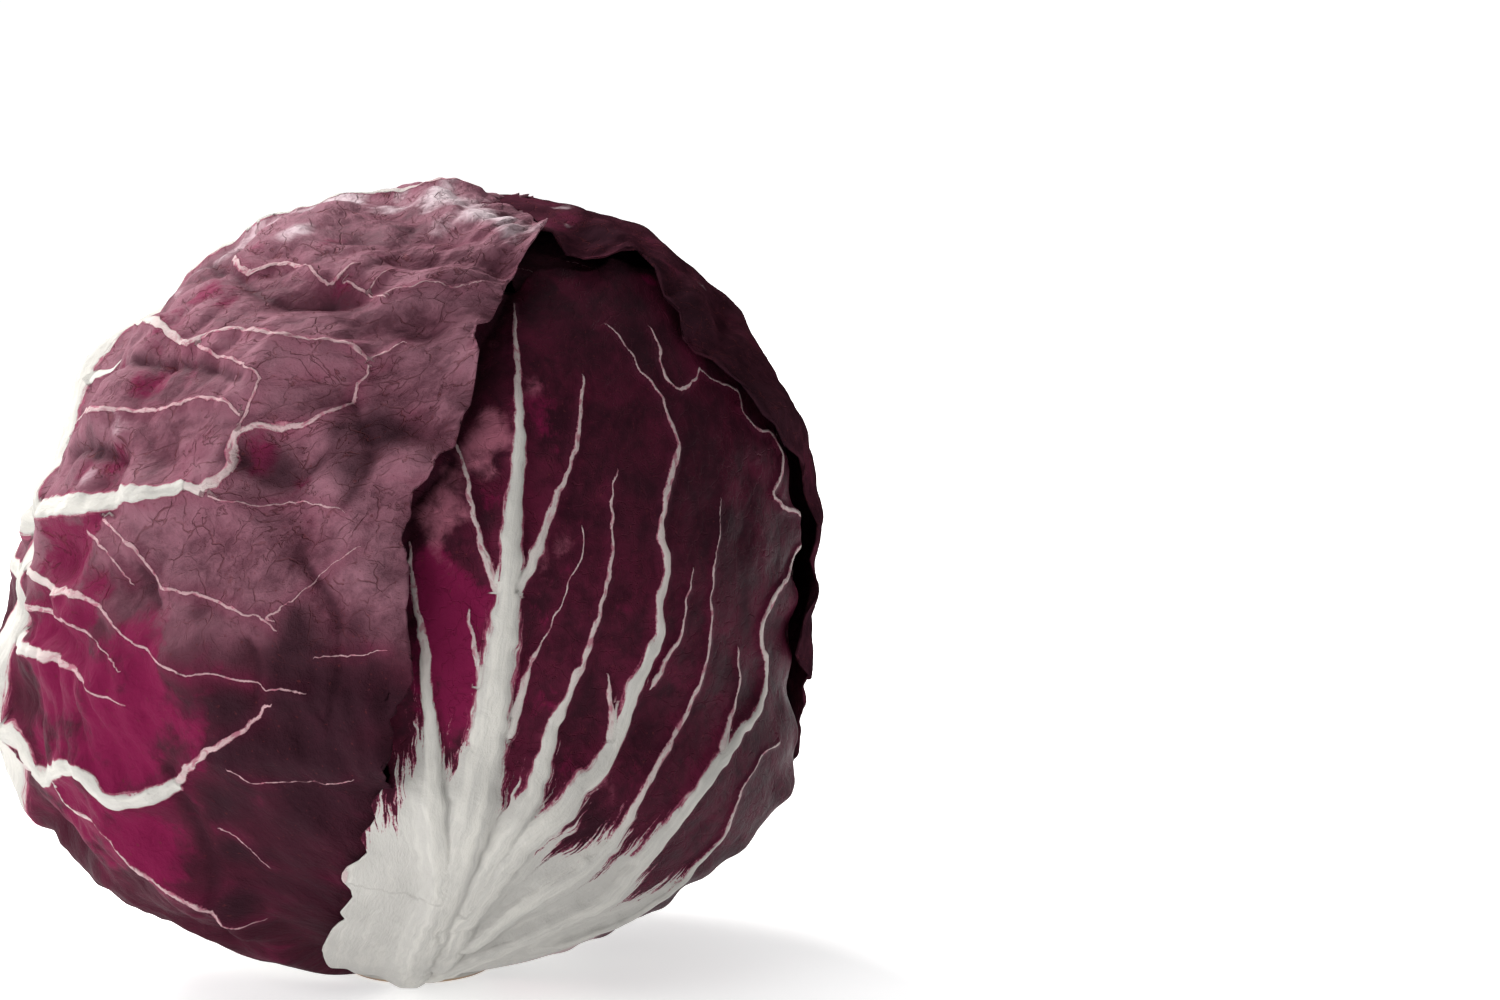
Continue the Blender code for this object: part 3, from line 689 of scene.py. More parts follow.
def leaf_grid(leaf):
    """Own angles of a leaf's fine grid, with the waves and frills of its margin."""
    rows, columns = leaf["grid"]
    outline = np.array(leaf["rows"], dtype=float)
    polar = np.linspace(outline[0, 0], outline[-1, 0], rows + 1)[:, None]
    split = int(round(columns * leaf["middle"] / INNER_STRIDE)) * INNER_STRIDE
    leftward = np.linspace(-1.0, 0.0, split + 1)[:-1]
    across = np.concatenate([leftward, np.linspace(0.0, 1.0, columns - split + 1)])[None, :]
    left = flowing(outline[:, 0], outline[:, 1], polar[:, 0])[:, None]
    right = flowing(outline[:, 0], outline[:, 2], polar[:, 0])[:, None]
    upward = (polar - polar[0]) / (polar[-1] - polar[0])
    scallop = 1.0 + leaf["scallop"] * np.sin(polar * 0.35 + leaf["azimuth"]) * upward
    own_azimuth = np.where(across < 0.0, left, right) * across * scallop
    seed = int(abs(leaf["azimuth"]) * 7)
    edge_place = np.stack([polar + 0.0 * across, 90.0 * across + 0.0 * polar], axis=-1) * MILLIMETRE
    frill = FRILL[0] * waves(edge_place, FRILL[1], seed)
    frill = frill + FINE_FRILL[0] * waves(edge_place, FINE_FRILL[1], seed + 1)
    frill = frill * leaf["frill"] * np.abs(across) ** 14 * np.sign(across)
    frill = frill * ease(polar, 20.0, 45.0) * ease(-polar, -polar[-1], 14.0 - polar[-1])
    own_azimuth = own_azimuth + frill + leaf["sway"] * (polar - 90.0)
    tip_wave = TIP_WAVE * np.sin(across * 8.0 + leaf["azimuth"])
    tip_wave = tip_wave + 2.0 * leaf["frill"] * waves(across[0][:, None], 0.22, seed + 2)[None, :]
    polar = polar + tip_wave * upward ** 8
    return polar, own_azimuth, across


def rib_height(leaf, gap, half):
    """How far the ribs stand out: rounded across, and less where they are thin."""
    tallest = 1.5 * bpy.context.scene.radicchio_sizes.vein_height * leaf["ribs"]
    ridge = tallest * np.minimum(half / FULL_RIB, 1.5) ** 0.7
    return ridge * np.exp(-((np.maximum(gap - 0.25 * half, 0.0) / (0.75 * half + 0.00035)) ** 2))


def crumple_height(leaf, place, gap, half, seed):
    """The leaf's creases: folds, hollows, knuckles and ripples, and the skin puffed up beside its ribs."""

    def field(kind, draw, stretch=1.0):
        return waves(place * np.array([1.0, stretch]), kind[1], seed + draw)

    folds = BROAD_FOLDS[0] * field(BROAD_FOLDS, 0) - HOLLOWS[0] * field(HOLLOWS, 3, 0.6) ** 2
    folds = folds + SMALL_FOLDS[0] * field(SMALL_FOLDS, 4)
    folds = folds + KNUCKLES[0] * np.sqrt(field(KNUCKLES, 8) ** 2 + 0.01)
    puff = RIB_PUFF[0] * np.exp(-np.maximum(gap - half, 0.0) / RIB_PUFF[1])
    ripple = RIPPLE[0] * field(RIPPLE, 5) + FINE_RIPPLE[0] * field(FINE_RIPPLE, 6)
    return bpy.context.scene.radicchio_sizes.crumple_height * leaf["crumple"] * (folds + puff + ripple)


def build_leaf(name, routes, material, patches=((), (), ()), shaded_creases=()):
    """The fine leaf that stands for a leaf of the part.

    patches are its magenta patches, its patches of painted shade and its patches of painted highlight,
    shaded_creases the routes of its sharp valleys, which are sunk in and darkened with painted shadow.
    """
    sizes = bpy.context.scene.radicchio_sizes
    leaf = LEAVES[name]
    seed = int(abs(leaf["azimuth"]))
    polar, own_azimuth, across = leaf_grid(leaf)
    toward = leaning(polar, own_azimuth, leaf["lean"], leaf["azimuth"])
    side, gap, half, way = vein_field(toward, routes, VEIN_WANDER)
    under = tucked(leaf, toward)
    true_polar, true_azimuth = angles(toward)

    along_place = np.radians(polar) * HEAD_RADIUS
    across_place = np.radians(own_azimuth) * np.sin(np.radians(np.clip(true_polar, 25, 155))) * HEAD_RADIUS
    place = np.stack([along_place + 0.0 * own_azimuth, across_place], axis=-1)

    ribs = rib_height(leaf, gap, half)
    crumple = crumple_height(leaf, place, gap, half, seed)
    crumple = crumple * ease(true_polar, 18.0, 50.0) * (1.0 - 0.6 * under)
    # Magenta patches, patches of painted shade and patches of painted highlight, as strengths at each point.
    tint_and_painted_light = [photo_patches(leaf, toward, spots, seed + kind) for kind, spots in enumerate(patches)]
    tint_and_painted_light = np.stack(tint_and_painted_light, axis=-1)
    if shaded_creases:
        _, valley, valley_half, _ = vein_field(toward, shaded_creases)
        crumple = crumple - sizes.crease_depth * np.exp(-valley / (3.0 * valley_half + 0.0006))
        # Painted shadow along each valley, laid into the painted shade.
        shadow = 0.55 * np.exp(-((valley / (2.0 * valley_half + 0.0006)) ** 2))
        tint_and_painted_light[..., 1] = np.maximum(tint_and_painted_light[..., 1], shadow)
    margin = np.abs(across) ** 6
    lift = np.where(across < 0.0, *leaf["lift"]) * margin * (0.5 + 0.5 * np.sin(polar * 0.3)) * (1.0 - under)
    curl = MARGIN_CURL[0] * margin * waves(place, MARGIN_CURL[1], seed + 7)
    relief = ribs + crumple + curl

    outer = leaf_distance(leaf, toward) + relief + lift - leaf["tip_sink"] * ease(polar, 149.0, 158.0)
    sunk, sunk_from, sunk_to = leaf["covered"]
    beside = (true_azimuth - leaf["azimuth"] + 180.0) % 360.0 - 180.0
    outer = outer - sunk * ease(beside, sunk_from, sunk_to) * ease(-true_polar, -150.0, -135.0)
    thick = sizes.leaf_edge + (sizes.leaf_body - sizes.leaf_edge) * (1.0 - np.abs(across) ** 10)
    inner = outer - thick - 0.5 * ribs

    white_top = leaf["white_top"][0] - leaf["white_top"][1] * true_azimuth
    between = (gap - half) / 0.0060 * ease(true_polar, white_top - 34.0, white_top - 10.0)
    white = (white_top - true_polar) / 16.0 + 0.40 - between
    level = np.full(gap.shape, 0.01 * seed)
    data = {
        "vein_side": side / MILLIMETRE,
        "vein_gap": gap / MILLIMETRE,
        "vein_half": half / MILLIMETRE,
        "base_white": white,
        "relief": relief / MILLIMETRE,
        "film_and_sheen": ease(true_polar, *leaf["film_and_sheen"]),
        "tint_and_painted_light": tint_and_painted_light,
        "place": np.stack([place[..., 0], place[..., 1], level], -1) / MILLIMETRE,
        "flow": np.stack([way, side, level], -1) / MILLIMETRE,
    }
    piece = two_faced(name + "_fine", toward, outer, inner, data)
    return finish_piece(piece, material, name)


def two_faced(name, toward, outer, inner, data):
    """A closed leaf: a fine outer face, a coarser inner face and a strip that joins their margins."""
    rows, columns = outer.shape
    outside = (toward * outer[..., None] + CENTRE).reshape(-1, 3)
    thin = (slice(None, None, INNER_STRIDE), slice(None, None, INNER_STRIDE))
    inside = (toward * inner[..., None] + CENTRE)[thin]
    thin_rows, thin_columns = inside.shape[:2]
    points = np.concatenate([outside, inside.reshape(-1, 3)])

    def sheet(base, height, width, flip):
        corner = (np.arange(height - 1)[:, None] * width + np.arange(width - 1)[None, :]).ravel() + base
        a, b, c, d = corner, corner + 1, corner + width + 1, corner + width
        first = np.stack([a, c, b] if flip else [a, b, c], axis=1)
        second = np.stack([a, d, c] if flip else [a, c, d], axis=1)
        return [first, second]

    faces = sheet(0, rows, columns, False) + sheet(rows * columns, thin_rows, thin_columns, True)
    fine = np.arange(rows * columns).reshape(rows, columns)
    coarse = np.arange(thin_rows * thin_columns).reshape(thin_rows, thin_columns) + rows * columns
    fine_rim = np.concatenate([fine[0, :-1], fine[:-1, -1], fine[-1, :0:-1], fine[:0:-1, 0]])
    coarse_rim = np.concatenate([coarse[0, :-1], coarse[:-1, -1], coarse[-1, :0:-1], coarse[:0:-1, 0]])
    strip = []
    for number, here in enumerate(coarse_rim):
        there = coarse_rim[(number + 1) % len(coarse_rim)]
        for step in range(INNER_STRIDE):
            near = fine_rim[number * INNER_STRIDE + step]
            far = fine_rim[(number * INNER_STRIDE + step + 1) % len(fine_rim)]
            strip.append((near, here, far))
        strip.append((far, here, there))
    faces = np.concatenate(faces + [np.array(strip)])
    values = {}
    for key, value in data.items():
        on_inside = value[thin].reshape(thin_rows * thin_columns, -1)
        values[key] = np.concatenate([value.reshape(rows * columns, -1), on_inside])
    return mesh_piece(name, points, faces, values)


def mesh_piece(name, points, faces, values):
    """A smooth mesh object from arrays of points and triangles, with its point values."""
    mesh = bpy.data.meshes.new(name)
    mesh.vertices.add(len(points))
    mesh.vertices.foreach_set("co", points.astype(np.float32).ravel())
    mesh.loops.add(len(faces) * 3)
    mesh.loops.foreach_set("vertex_index", faces.astype(np.int32).ravel())
    mesh.polygons.add(len(faces))
    mesh.polygons.foreach_set("loop_start", np.arange(0, len(faces) * 3, 3, dtype=np.int32))
    mesh.update(calc_edges=True)
    mesh.shade_smooth()
    for key, array in values.items():
        vector = array.shape[1] == 3
        layer = mesh.attributes.new(key, "FLOAT_VECTOR" if vector else "FLOAT", "POINT")
        layer.data.foreach_set("vector" if vector else "value", array.astype(np.float32).ravel())
    piece = bpy.data.objects.new(name, mesh)
    bpy.context.collection.objects.link(piece)
    return piece


def closed_faces(rings, columns):
    """Triangles of a closed round shape: rings of points, with its lower and its upper end point last."""
    count = rings * columns
    column = np.arange(columns)
    following = (column + 1) % columns
    last = count - columns
    low_end, high_end = np.full(columns, count), np.full(columns, count + 1)
    faces = [(low_end, following, column), (high_end, last + column, last + following)]
    for low in range(0, last, columns):
        high = low + columns
        faces.append((low + column, low + following, high + following))
        faces.append((low + column, high + following, high + column))
    return np.concatenate([np.stack(corners, axis=1) for corners in faces])


def finish_piece(piece, material, node):
    """Dresses a piece and fixes it to the body in place of its node."""
    piece.data.materials.append(material)
    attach(piece, "root")
    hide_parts(node)
    return piece


class Field:
    """A value that a material's nodes work out, ready for sums with numbers and other fields."""

    def __init__(self, nodes, socket):
        self.nodes = nodes
        self.socket = socket

    def __add__(self, other):
        return self.nodes.math("ADD", self, other)

    def __sub__(self, other):
        return self.nodes.math("SUBTRACT", self, other)

    def __rsub__(self, other):
        return self.nodes.math("SUBTRACT", other, self)

    def __mul__(self, other):
        return self.nodes.math("MULTIPLY", self, other)

    def __truediv__(self, other):
        return self.nodes.math("DIVIDE", self, other)

    def __abs__(self):
        return self.nodes.math("ABSOLUTE", self)


class Nodes:
    """The nodes of one material, joined as they are made."""

    def __init__(self, name):
        self.material = bpy.data.materials.new(name)
        self.material.use_nodes = True
        self.tree = self.material.node_tree
        self.shader = self.tree.nodes["Principled BSDF"]

    def join(self, socket, value):
        if isinstance(value, Field):
            self.tree.links.new(value.socket, socket)
        else:
            socket.default_value = value

    def make(self, kind, inputs=(), output=0, **settings):
        made = self.tree.nodes.new(kind)
        for key, value in settings.items():
            setattr(made, key, value)
        for key, value in dict(inputs).items():
            self.join(made.inputs[key], value)
        return Field(self, made.outputs[output])

    def value(self, name):
        return self.make("ShaderNodeAttribute", output="Fac", attribute_name=name)

    def vector(self, name):
        return self.make("ShaderNodeAttribute", output="Vector", attribute_name=name)

    def part(self, vector, letter):
        return self.make("ShaderNodeSeparateXYZ", {0: vector}, output=letter)

    def math(self, operation, first, second=0.0, clamp=False):
        return self.make("ShaderNodeMath", {0: first, 1: second}, operation=operation, use_clamp=clamp)

    def more_of(self, first, second):
        return self.math("MAXIMUM", first, second)

    def run(self, value, low, high, start=0.0, end=1.0):
        """Eases from start at low to end at high."""
        inputs = {"Value": value, "From Min": low, "From Max": high, "To Min": start, "To Max": end}
        return self.make("ShaderNodeMapRange", inputs, interpolation_type="SMOOTHSTEP")

    def stretch(self, vector, along, across, depth=1.0):
        return self.make("ShaderNodeVectorMath", {0: vector, 1: (along, across, depth)}, operation="MULTIPLY")

    def noise(self, vector, scale, detail=3.0, roughness=0.55, twist=0.0, output="Fac"):
        inputs = {"Vector": vector, "Scale": scale, "Detail": detail, "Roughness": roughness}
        return self.make("ShaderNodeTexNoise", {**inputs, "Distortion": twist}, output=output)

    def blend(self, share, first, second):
        made = self.tree.nodes.new("ShaderNodeMix")
        made.data_type = "RGBA"
        for socket, value in ((made.inputs[0], share), (made.inputs[6], first), (made.inputs[7], second)):
            self.join(socket, value)
        return Field(self, made.outputs[2])

    def paint(self, colour):
        self.join(self.shader.inputs["Base Color"], colour)

    def roughen(self, roughness):
        self.join(self.shader.inputs["Roughness"], roughness)

    def emboss(self, height, distance, strength):
        inputs = {"Height": height, "Distance": distance, "Strength": strength}
        self.join(self.shader.inputs["Normal"], self.make("ShaderNodeBump", inputs))


class LeafSkin(Nodes):
    """Leaf skin, from the values that its mesh carries and the noises that its layers share.

    Lengths are in millimetres. feather is how frayed the ribs and the white base are.
    """

    def __init__(self, name, feather):
        super().__init__(name)
        self.feather = feather
        self.place = self.vector("place")
        self.flow = self.vector("flow")
        self.film_and_sheen = self.value("film_and_sheen")
        self.gap = self.value("vein_gap")
        self.half = self.value("vein_half")
        self.relief = self.value("relief")
        self.streak = self.noise(self.stretch(self.flow, 0.07, 0.75), 1.0, 4.0, 0.65)
        self.fine_streak = self.noise(self.stretch(self.flow, 0.30, 2.4), 1.0, 3.0, 0.65)
        self.cloud = self.noise(self.place, 0.11, 4.0, 0.6, 0.6)
        self.mottle = self.noise(self.place, 0.45, 5.0, 0.65, 0.3)
        self.grain = self.noise(self.place, 2.2, 4.0, 0.7)

    def across_rib(self):
        """0 along the middle of a rib and about 1 at its frayed edge."""
        loose = (self.streak + self.fine_streak - 1.0) * (self.half * self.feather + 0.15)
        centre = self.more_of(abs(self.value("vein_side")), self.gap - 0.45)
        ragged = self.half + (self.grain - 0.5) * 0.45
        return (centre + loose) / self.more_of(ragged, 0.05)

    def ribs(self, across):
        """1 on the ribs, fainter in places where they are thin."""
        patchy = self.run(self.noise(self.stretch(self.flow, 0.5, 1.0), 1.0, 2.0), 0.36, 0.56, 0.55, 1.0)
        patchy = self.more_of(patchy, self.run(self.half, 0.3, 0.8))
        return self.run(across, 0.70, 1.22, 1.0, 0.0) * patchy

    def white_base(self):
        """1 on the white base, which runs out in frayed tongues."""
        tongues = (self.streak + self.fine_streak * 0.6 - 0.8) * (3.1 * self.feather)
        crumbs = (self.grain - 0.5) * 0.5
        return self.run(self.value("base_white") + tongues + crumbs, 0.05, 0.40)

    def net(self):
        """1 on the fine dark cells and fold lines of the dusty film."""
        warp = self.noise(self.place, 0.25, 3.0, 0.5, output="Color")
        bent = {0: self.place, 1: self.stretch(warp, 5.0, 5.0)}
        bent = self.make("ShaderNodeVectorMath", bent, operation="ADD")
        cells = self.make("ShaderNodeTexVoronoi", {"Vector": bent, "Scale": 0.22},
                          feature="DISTANCE_TO_EDGE", voronoi_dimensions="2D")
        cells = self.run(cells, 0.004, 0.035, 1.0, 0.0) * self.run(self.mottle, 0.38, 0.62)
        folded = abs(self.noise(self.place, 0.16, 4.0, 0.55, 1.2) - 0.5)
        folded = self.run(folded, 0.0, 0.012, 1.0, 0.0) * self.run(self.cloud, 0.42, 0.58)
        return self.more_of(cells, folded) * self.film_and_sheen

    def rubbed(self, rub, patches):
        """1 where the film is rubbed off: beside the ribs, in some clouds and in the given patches."""
        halo = self.run(self.gap - self.half, 0.0, 2.2, 1.0, 0.0)
        flush = self.math("ADD", halo * rub, self.run(self.cloud, 0.54, 0.70) * rub, clamp=True)
        stray = (self.mottle - 0.5) * 0.9 + (self.streak - 0.5) * (0.7 * self.feather)
        spots = self.run(patches + stray, 0.28, 0.70) * self.run(patches, 0.02, 0.2)
        return self.more_of(flush * 0.7, spots)

    def dust_and_sheen(self, bloom_and_sheen, rubbed):
        """Strength of the dusty film and of its painted sheen, paler on raised places."""
        dust_and_sheen = (self.mottle + self.cloud) * 0.45 + self.relief * 0.07
        dust_and_sheen = self.run(dust_and_sheen + self.grain * 0.16, 0.34, 0.72, 0.25, 1.0)
        return dust_and_sheen * self.math("SUBTRACT", 1.0, rubbed * 0.9, clamp=True) * bloom_and_sheen * self.film_and_sheen

    def lit(self, patches):
        """1 where the skin catches the light, within the given patches."""
        lit = (self.mottle - 0.5) * 0.9 + (self.cloud - 0.5) * 1.2
        lit = patches + (lit + self.relief * 0.22)
        return self.run(lit, 0.25, 1.0) * self.run(patches, 0.02, 0.2)


def leaf_material(name, bloom_and_sheen, gloss, body, deep, film_and_sheen, glare, rub=0.4, cracks=0.3, feather=0.5, pink=0.5,
                  shine=0.02):
    """Leaf skin with its ribs.

    body and deep are the skin's colour and that of its darker clouds, deep spreading as painted shade where
    the film is missing. film_and_sheen is the colour of the dusty film with its painted sheen, and glare that
    of the painted highlights in the lit patches. bloom_and_sheen is the strength of the dusty film and its
    painted sheen, gloss the smoothness, shine the reflection, rub how much magenta shows beside the ribs,
    cracks the fine dark net, feather how frayed the ribs are and pink the flush of thin ribs.
    """
    colours = bpy.context.scene.radicchio_colours
    made = LeafSkin(name, feather)
    tint_and_painted_light = made.vector("tint_and_painted_light")
    magenta_patches, painted_shade_patches, painted_highlight_patches = (made.part(tint_and_painted_light, letter) for letter in "XYZ")
    across = made.across_rib()
    rib = made.ribs(across)
    pale = made.more_of(rib, made.white_base())
    net = made.net()
    rubbed = made.rubbed(rub, magenta_patches)

    cloudy = made.run(made.mottle + made.cloud * 1.5, 0.9, 1.6)
    # Darker clouds at random, and more of the deep colour where the film is missing: painted shade on the
    # lower part of the leaf.
    skin = made.blend(cloudy * made.run(made.film_and_sheen, 0.0, 1.0, 0.35, 1.0), deep, body)
    skin = made.blend(rubbed, skin, colours.magenta)
    # The dusty film with its painted sheen.
    skin = made.blend(made.dust_and_sheen(bloom_and_sheen, rubbed), skin, film_and_sheen)
    # Painted highlights: glare where the skin catches the light.
    skin = made.blend(made.lit(painted_highlight_patches) * 0.72, skin, glare)
    # Painted shade: hollows, shadows of folds and sides turned from the light, darkened in the skin's colour.
    skin = made.blend(made.run(painted_shade_patches, 0.05, 0.9) * 0.85, skin, colours.painted_shade)
    skin = made.blend(net * cracks, skin, colours.speck)
    specks = made.run(made.noise(made.place, 1.6, 2.0, 0.5), 0.66, 0.72)
    skin = made.blend(specks * 0.5, skin, colours.speck)

    grey = made.run(made.streak + made.cloud * 0.5 + made.fine_streak * 0.25, 0.70, 1.05)
    grey = made.math("ADD", grey, made.run(across, 0.35, 1.0, 0.0, 0.5), clamp=True)
    rib_skin = made.blend(grey, colours.rib, colours.rib_shade)
    thin = made.run(made.half, 0.25, 1.1, 1.0, 0.0)
    rib_skin = made.blend(thin * pink, rib_skin, colours.rib_pink)
    edge = made.blend(made.run(pale, 0.0, 0.55), skin, colours.rib_edge)
    made.paint(made.blend(made.run(pale, 0.35, 0.95), edge, rib_skin))

    rough = (made.mottle - 0.5) * 0.3 + (0.66 - 0.30 * gloss) + pale * 0.08
    made.roughen(made.more_of(rough, 0.2))
    made.shader.inputs["Specular IOR Level"].default_value = shine
    made.shader.inputs["Specular Tint"].default_value = (1.0, 0.60, 0.72, 1.0)
    wrinkle = made.mottle * (0.6 + 0.4 * bloom_and_sheen) + made.grain * (0.10 + 0.20 * bloom_and_sheen)
    height = rib * 0.35 + wrinkle - net * (1.0 - pale) * 0.35 + made.fine_streak * pale * 0.25
    made.emboss(height, 0.0007, 0.6 + 0.5 * bloom_and_sheen)
    return made.material


def stem_material():
    """The cut stub: pale rings of core inside a browned rim."""
    colours = bpy.context.scene.radicchio_colours
    made = Nodes("stem_cut")
    place = made.make("ShaderNodeTexCoord", output="Object")
    level = made.stretch(place, 1.0, 1.0, 0.0)
    radius = made.make("ShaderNodeVectorMath", {0: level}, output="Value", operation="LENGTH")
    fibre = made.noise(place, 900.0, 4.0, 0.65)
    cloud = made.noise(place, 180.0, 4.0, 0.6, 0.4)
    ring = radius / bpy.context.scene.radicchio_sizes.stem_radius + (cloud - 0.5) * 0.22
    wall = made.run(made.part(place, "Z"), 0.0002, 0.0006)
    rim = made.run(ring, 0.72, 1.0)
    pith = made.run(ring, 0.18, 0.34, 1.0, 0.0)
    skin = made.blend(made.run(cloud, 0.35, 0.7), colours.stem_cut, colours.rib_shade)
    skin = made.blend(pith * 0.5, skin, colours.rib)
    skin = made.blend(rim * 0.75, skin, colours.stem_rim)
    skin = made.blend(made.run(fibre, 0.55, 0.75, 0.0, 0.35), skin, colours.stem_rim)
    made.paint(made.blend(wall, skin, made.blend(cloud, colours.rib, colours.rib_shade)))
    made.roughen(made.run(cloud, 0.2, 0.8, 0.6, 0.85))
    made.emboss(fibre + cloud, 0.0004, 0.6)
    return made.material


def floor_material():
    """Matt pale board with the faintest cloudiness."""
    colours = bpy.context.scene.radicchio_colours
    made = Nodes("pale_floor")
    place = made.make("ShaderNodeTexCoord", output="Object")
    cloud = made.noise(place, 3.0, 3.0)
    pale = tuple(0.97 * channel for channel in colours.floor)
    made.join(made.shader.inputs["Base Color"], made.blend(cloud, colours.floor, pale))
    made.shader.inputs["Roughness"].default_value = 0.9
    made.shader.inputs["Specular IOR Level"].default_value = 0.1
    made.shader.inputs["Emission Color"].default_value = (1.0, 1.0, 1.0, 1.0)
    made.shader.inputs["Emission Strength"].default_value = FLOOR_GLOW
    return made.material


def colour_property(name, description, default):
    return bpy.props.FloatVectorProperty(
        name=name, description=description, subtype="COLOR", size=4, min=0.0, max=1.0, default=(*default, 1.0)
    )


def length_property(name, description, default):
    return bpy.props.FloatProperty(
        name=name, description=description, subtype="DISTANCE", unit="LENGTH", min=0.0, default=default
    )


class RadicchioSizes(bpy.types.PropertyGroup):
    """Sizes of the leaves and of the stem."""

    leaf_edge: length_property("Leaf edge", "Thickness of a leaf at its margin", 0.00035)
    leaf_body: length_property("Leaf body", "Thickness of a leaf away from its margin", 0.0008)
    crease_depth: length_property("Crease depth", "Depth of the sharp valleys of the left leaf", 0.0014)
    vein_height: length_property("Vein height", "How far a wide rib stands out", 0.0009)
    crumple_height: length_property("Crumple height", "Height of the creases of the left leaf", 0.0016)
    stem_radius: length_property("Stem radius", "Radius of the cut stem", (STEM_HIGH.x - STEM_LOW.x) / 2)


class RadicchioColours(bpy.types.PropertyGroup):
    """Colours of skin, ribs, stem and floor, with painted shade, painted highlights and painted sheen among
    them.
    """

    plum: colour_property("Plum", "Body of the left leaf", (0.085, 0.016, 0.032))
    plum_deep: colour_property("Deep plum", "Darker clouds of the left leaf", (0.036, 0.007, 0.014))
    # The back leaf's plum and deep plum, darkened as painted shade on the side turned from the light.
    shaded_plum: colour_property("Dusky", "Body of the back leaf", (0.042, 0.008, 0.016))
    shaded_plum_deep: colour_property("Deep dusky", "Darker clouds of the back leaf", (0.020, 0.005, 0.009))
    wine: colour_property("Wine", "Body of the smooth front leaf", (0.058, 0.007, 0.019))
    wine_deep: colour_property("Deep wine", "Darker clouds of the front leaf", (0.022, 0.005, 0.010))
    magenta: colour_property("Magenta", "Skin with its bloom rubbed off", (0.122, 0.007, 0.036))
    # Part dusty film, part painted sheen where the light grazes the left leaf.
    bloom_and_sheen: colour_property("Bloom", "Dusty film on the left leaf", (0.270, 0.130, 0.165))
    # Painted highlight: the gloss where the front leaf catches the light.
    painted_front_gloss: colour_property("Blush", "Where the front leaf catches the light", (0.400, 0.135, 0.190))
    # Part greyer film, part painted sheen, on the back leaf and the leaves under it.
    dusk_and_sheen: colour_property("Dusk", "Greyer film on the back leaf", (0.230, 0.150, 0.175))
    # Painted highlight: glare where the light grazes the dusty leaves.
    painted_glare: colour_property("Frost", "Where wax makes the dusty leaves whitish", (0.560, 0.480, 0.510))
    # Painted shade for hollows and for the sides turned from the light.
    painted_shade: colour_property("Shade", "Blackened hollows", (0.020, 0.008, 0.012))
    rib: colour_property("Rib", "White ribs and leaf bases", (0.480, 0.468, 0.435))
    rib_shade: colour_property("Rib shade", "Greyer streaks in the ribs", (0.400, 0.390, 0.368))
    rib_edge: colour_property("Rib edge", "Pink edge of the ribs", (0.260, 0.060, 0.105))
    rib_pink: colour_property("Rib pink", "Flushed thin ribs", (0.360, 0.185, 0.215))
    speck: colour_property("Speck", "Small brown specks", (0.090, 0.020, 0.022))
    stem_cut: colour_property("Stem cut", "Cut face of the stem", (0.560, 0.440, 0.280))
    stem_rim: colour_property("Stem rim", "Browned rim of the cut", (0.220, 0.110, 0.050))
    floor: colour_property("Floor", "Pale floor", (0.900, 0.900, 0.905))


class RADICCHIO_OT_stem(bpy.types.Operator):
    """Build the cut stem"""

    bl_idname = "radicchio.stem"
    bl_label = "Stem"

    def execute(self, context):
        radius = context.scene.radicchio_sizes.stem_radius
        height = STEM_HIGH.z - STEM_LOW.z
        profile = [(radius * share, 0.0) for share in np.linspace(0.02, 1.0 - STEM_BEVEL / radius, 34)]
        profile += [(radius, STEM_BEVEL)]
        profile += [(radius * wide, height * high) for wide, high in STEM_WALLS]
        radii, heights = np.array(profile).T
        turns = np.linspace(0.0, 2.0 * np.pi, STEM_SIDES, endpoint=False)
        grid = np.stack([
            radii[:, None] * np.cos(turns), radii[:, None] * np.sin(turns), heights[:, None] + 0.0 * turns
        ], axis=-1)
        rough = np.abs(0.00016 * waves(grid, 0.0016, 3) + 0.00022 * waves(grid, 0.005, 4))
        cut = radii < radius * STEM_CUT
        grid[cut, :, 2] += rough[cut] * ease(radius * STEM_CUT - radii[cut], 0.0, 0.001)[:, None]
        grid[~cut, :, :2] *= 1.0 - 8.0 * rough[~cut, :, None]
        points = np.concatenate([grid.reshape(-1, 3), [[0.0, 0.0, 0.0001]], [[0.0, 0.0, height]]])
        piece = mesh_piece("stem_fine", points, closed_faces(len(profile), STEM_SIDES), {})
        finish_piece(piece, stem_material(), "stem")
        return {"FINISHED"}


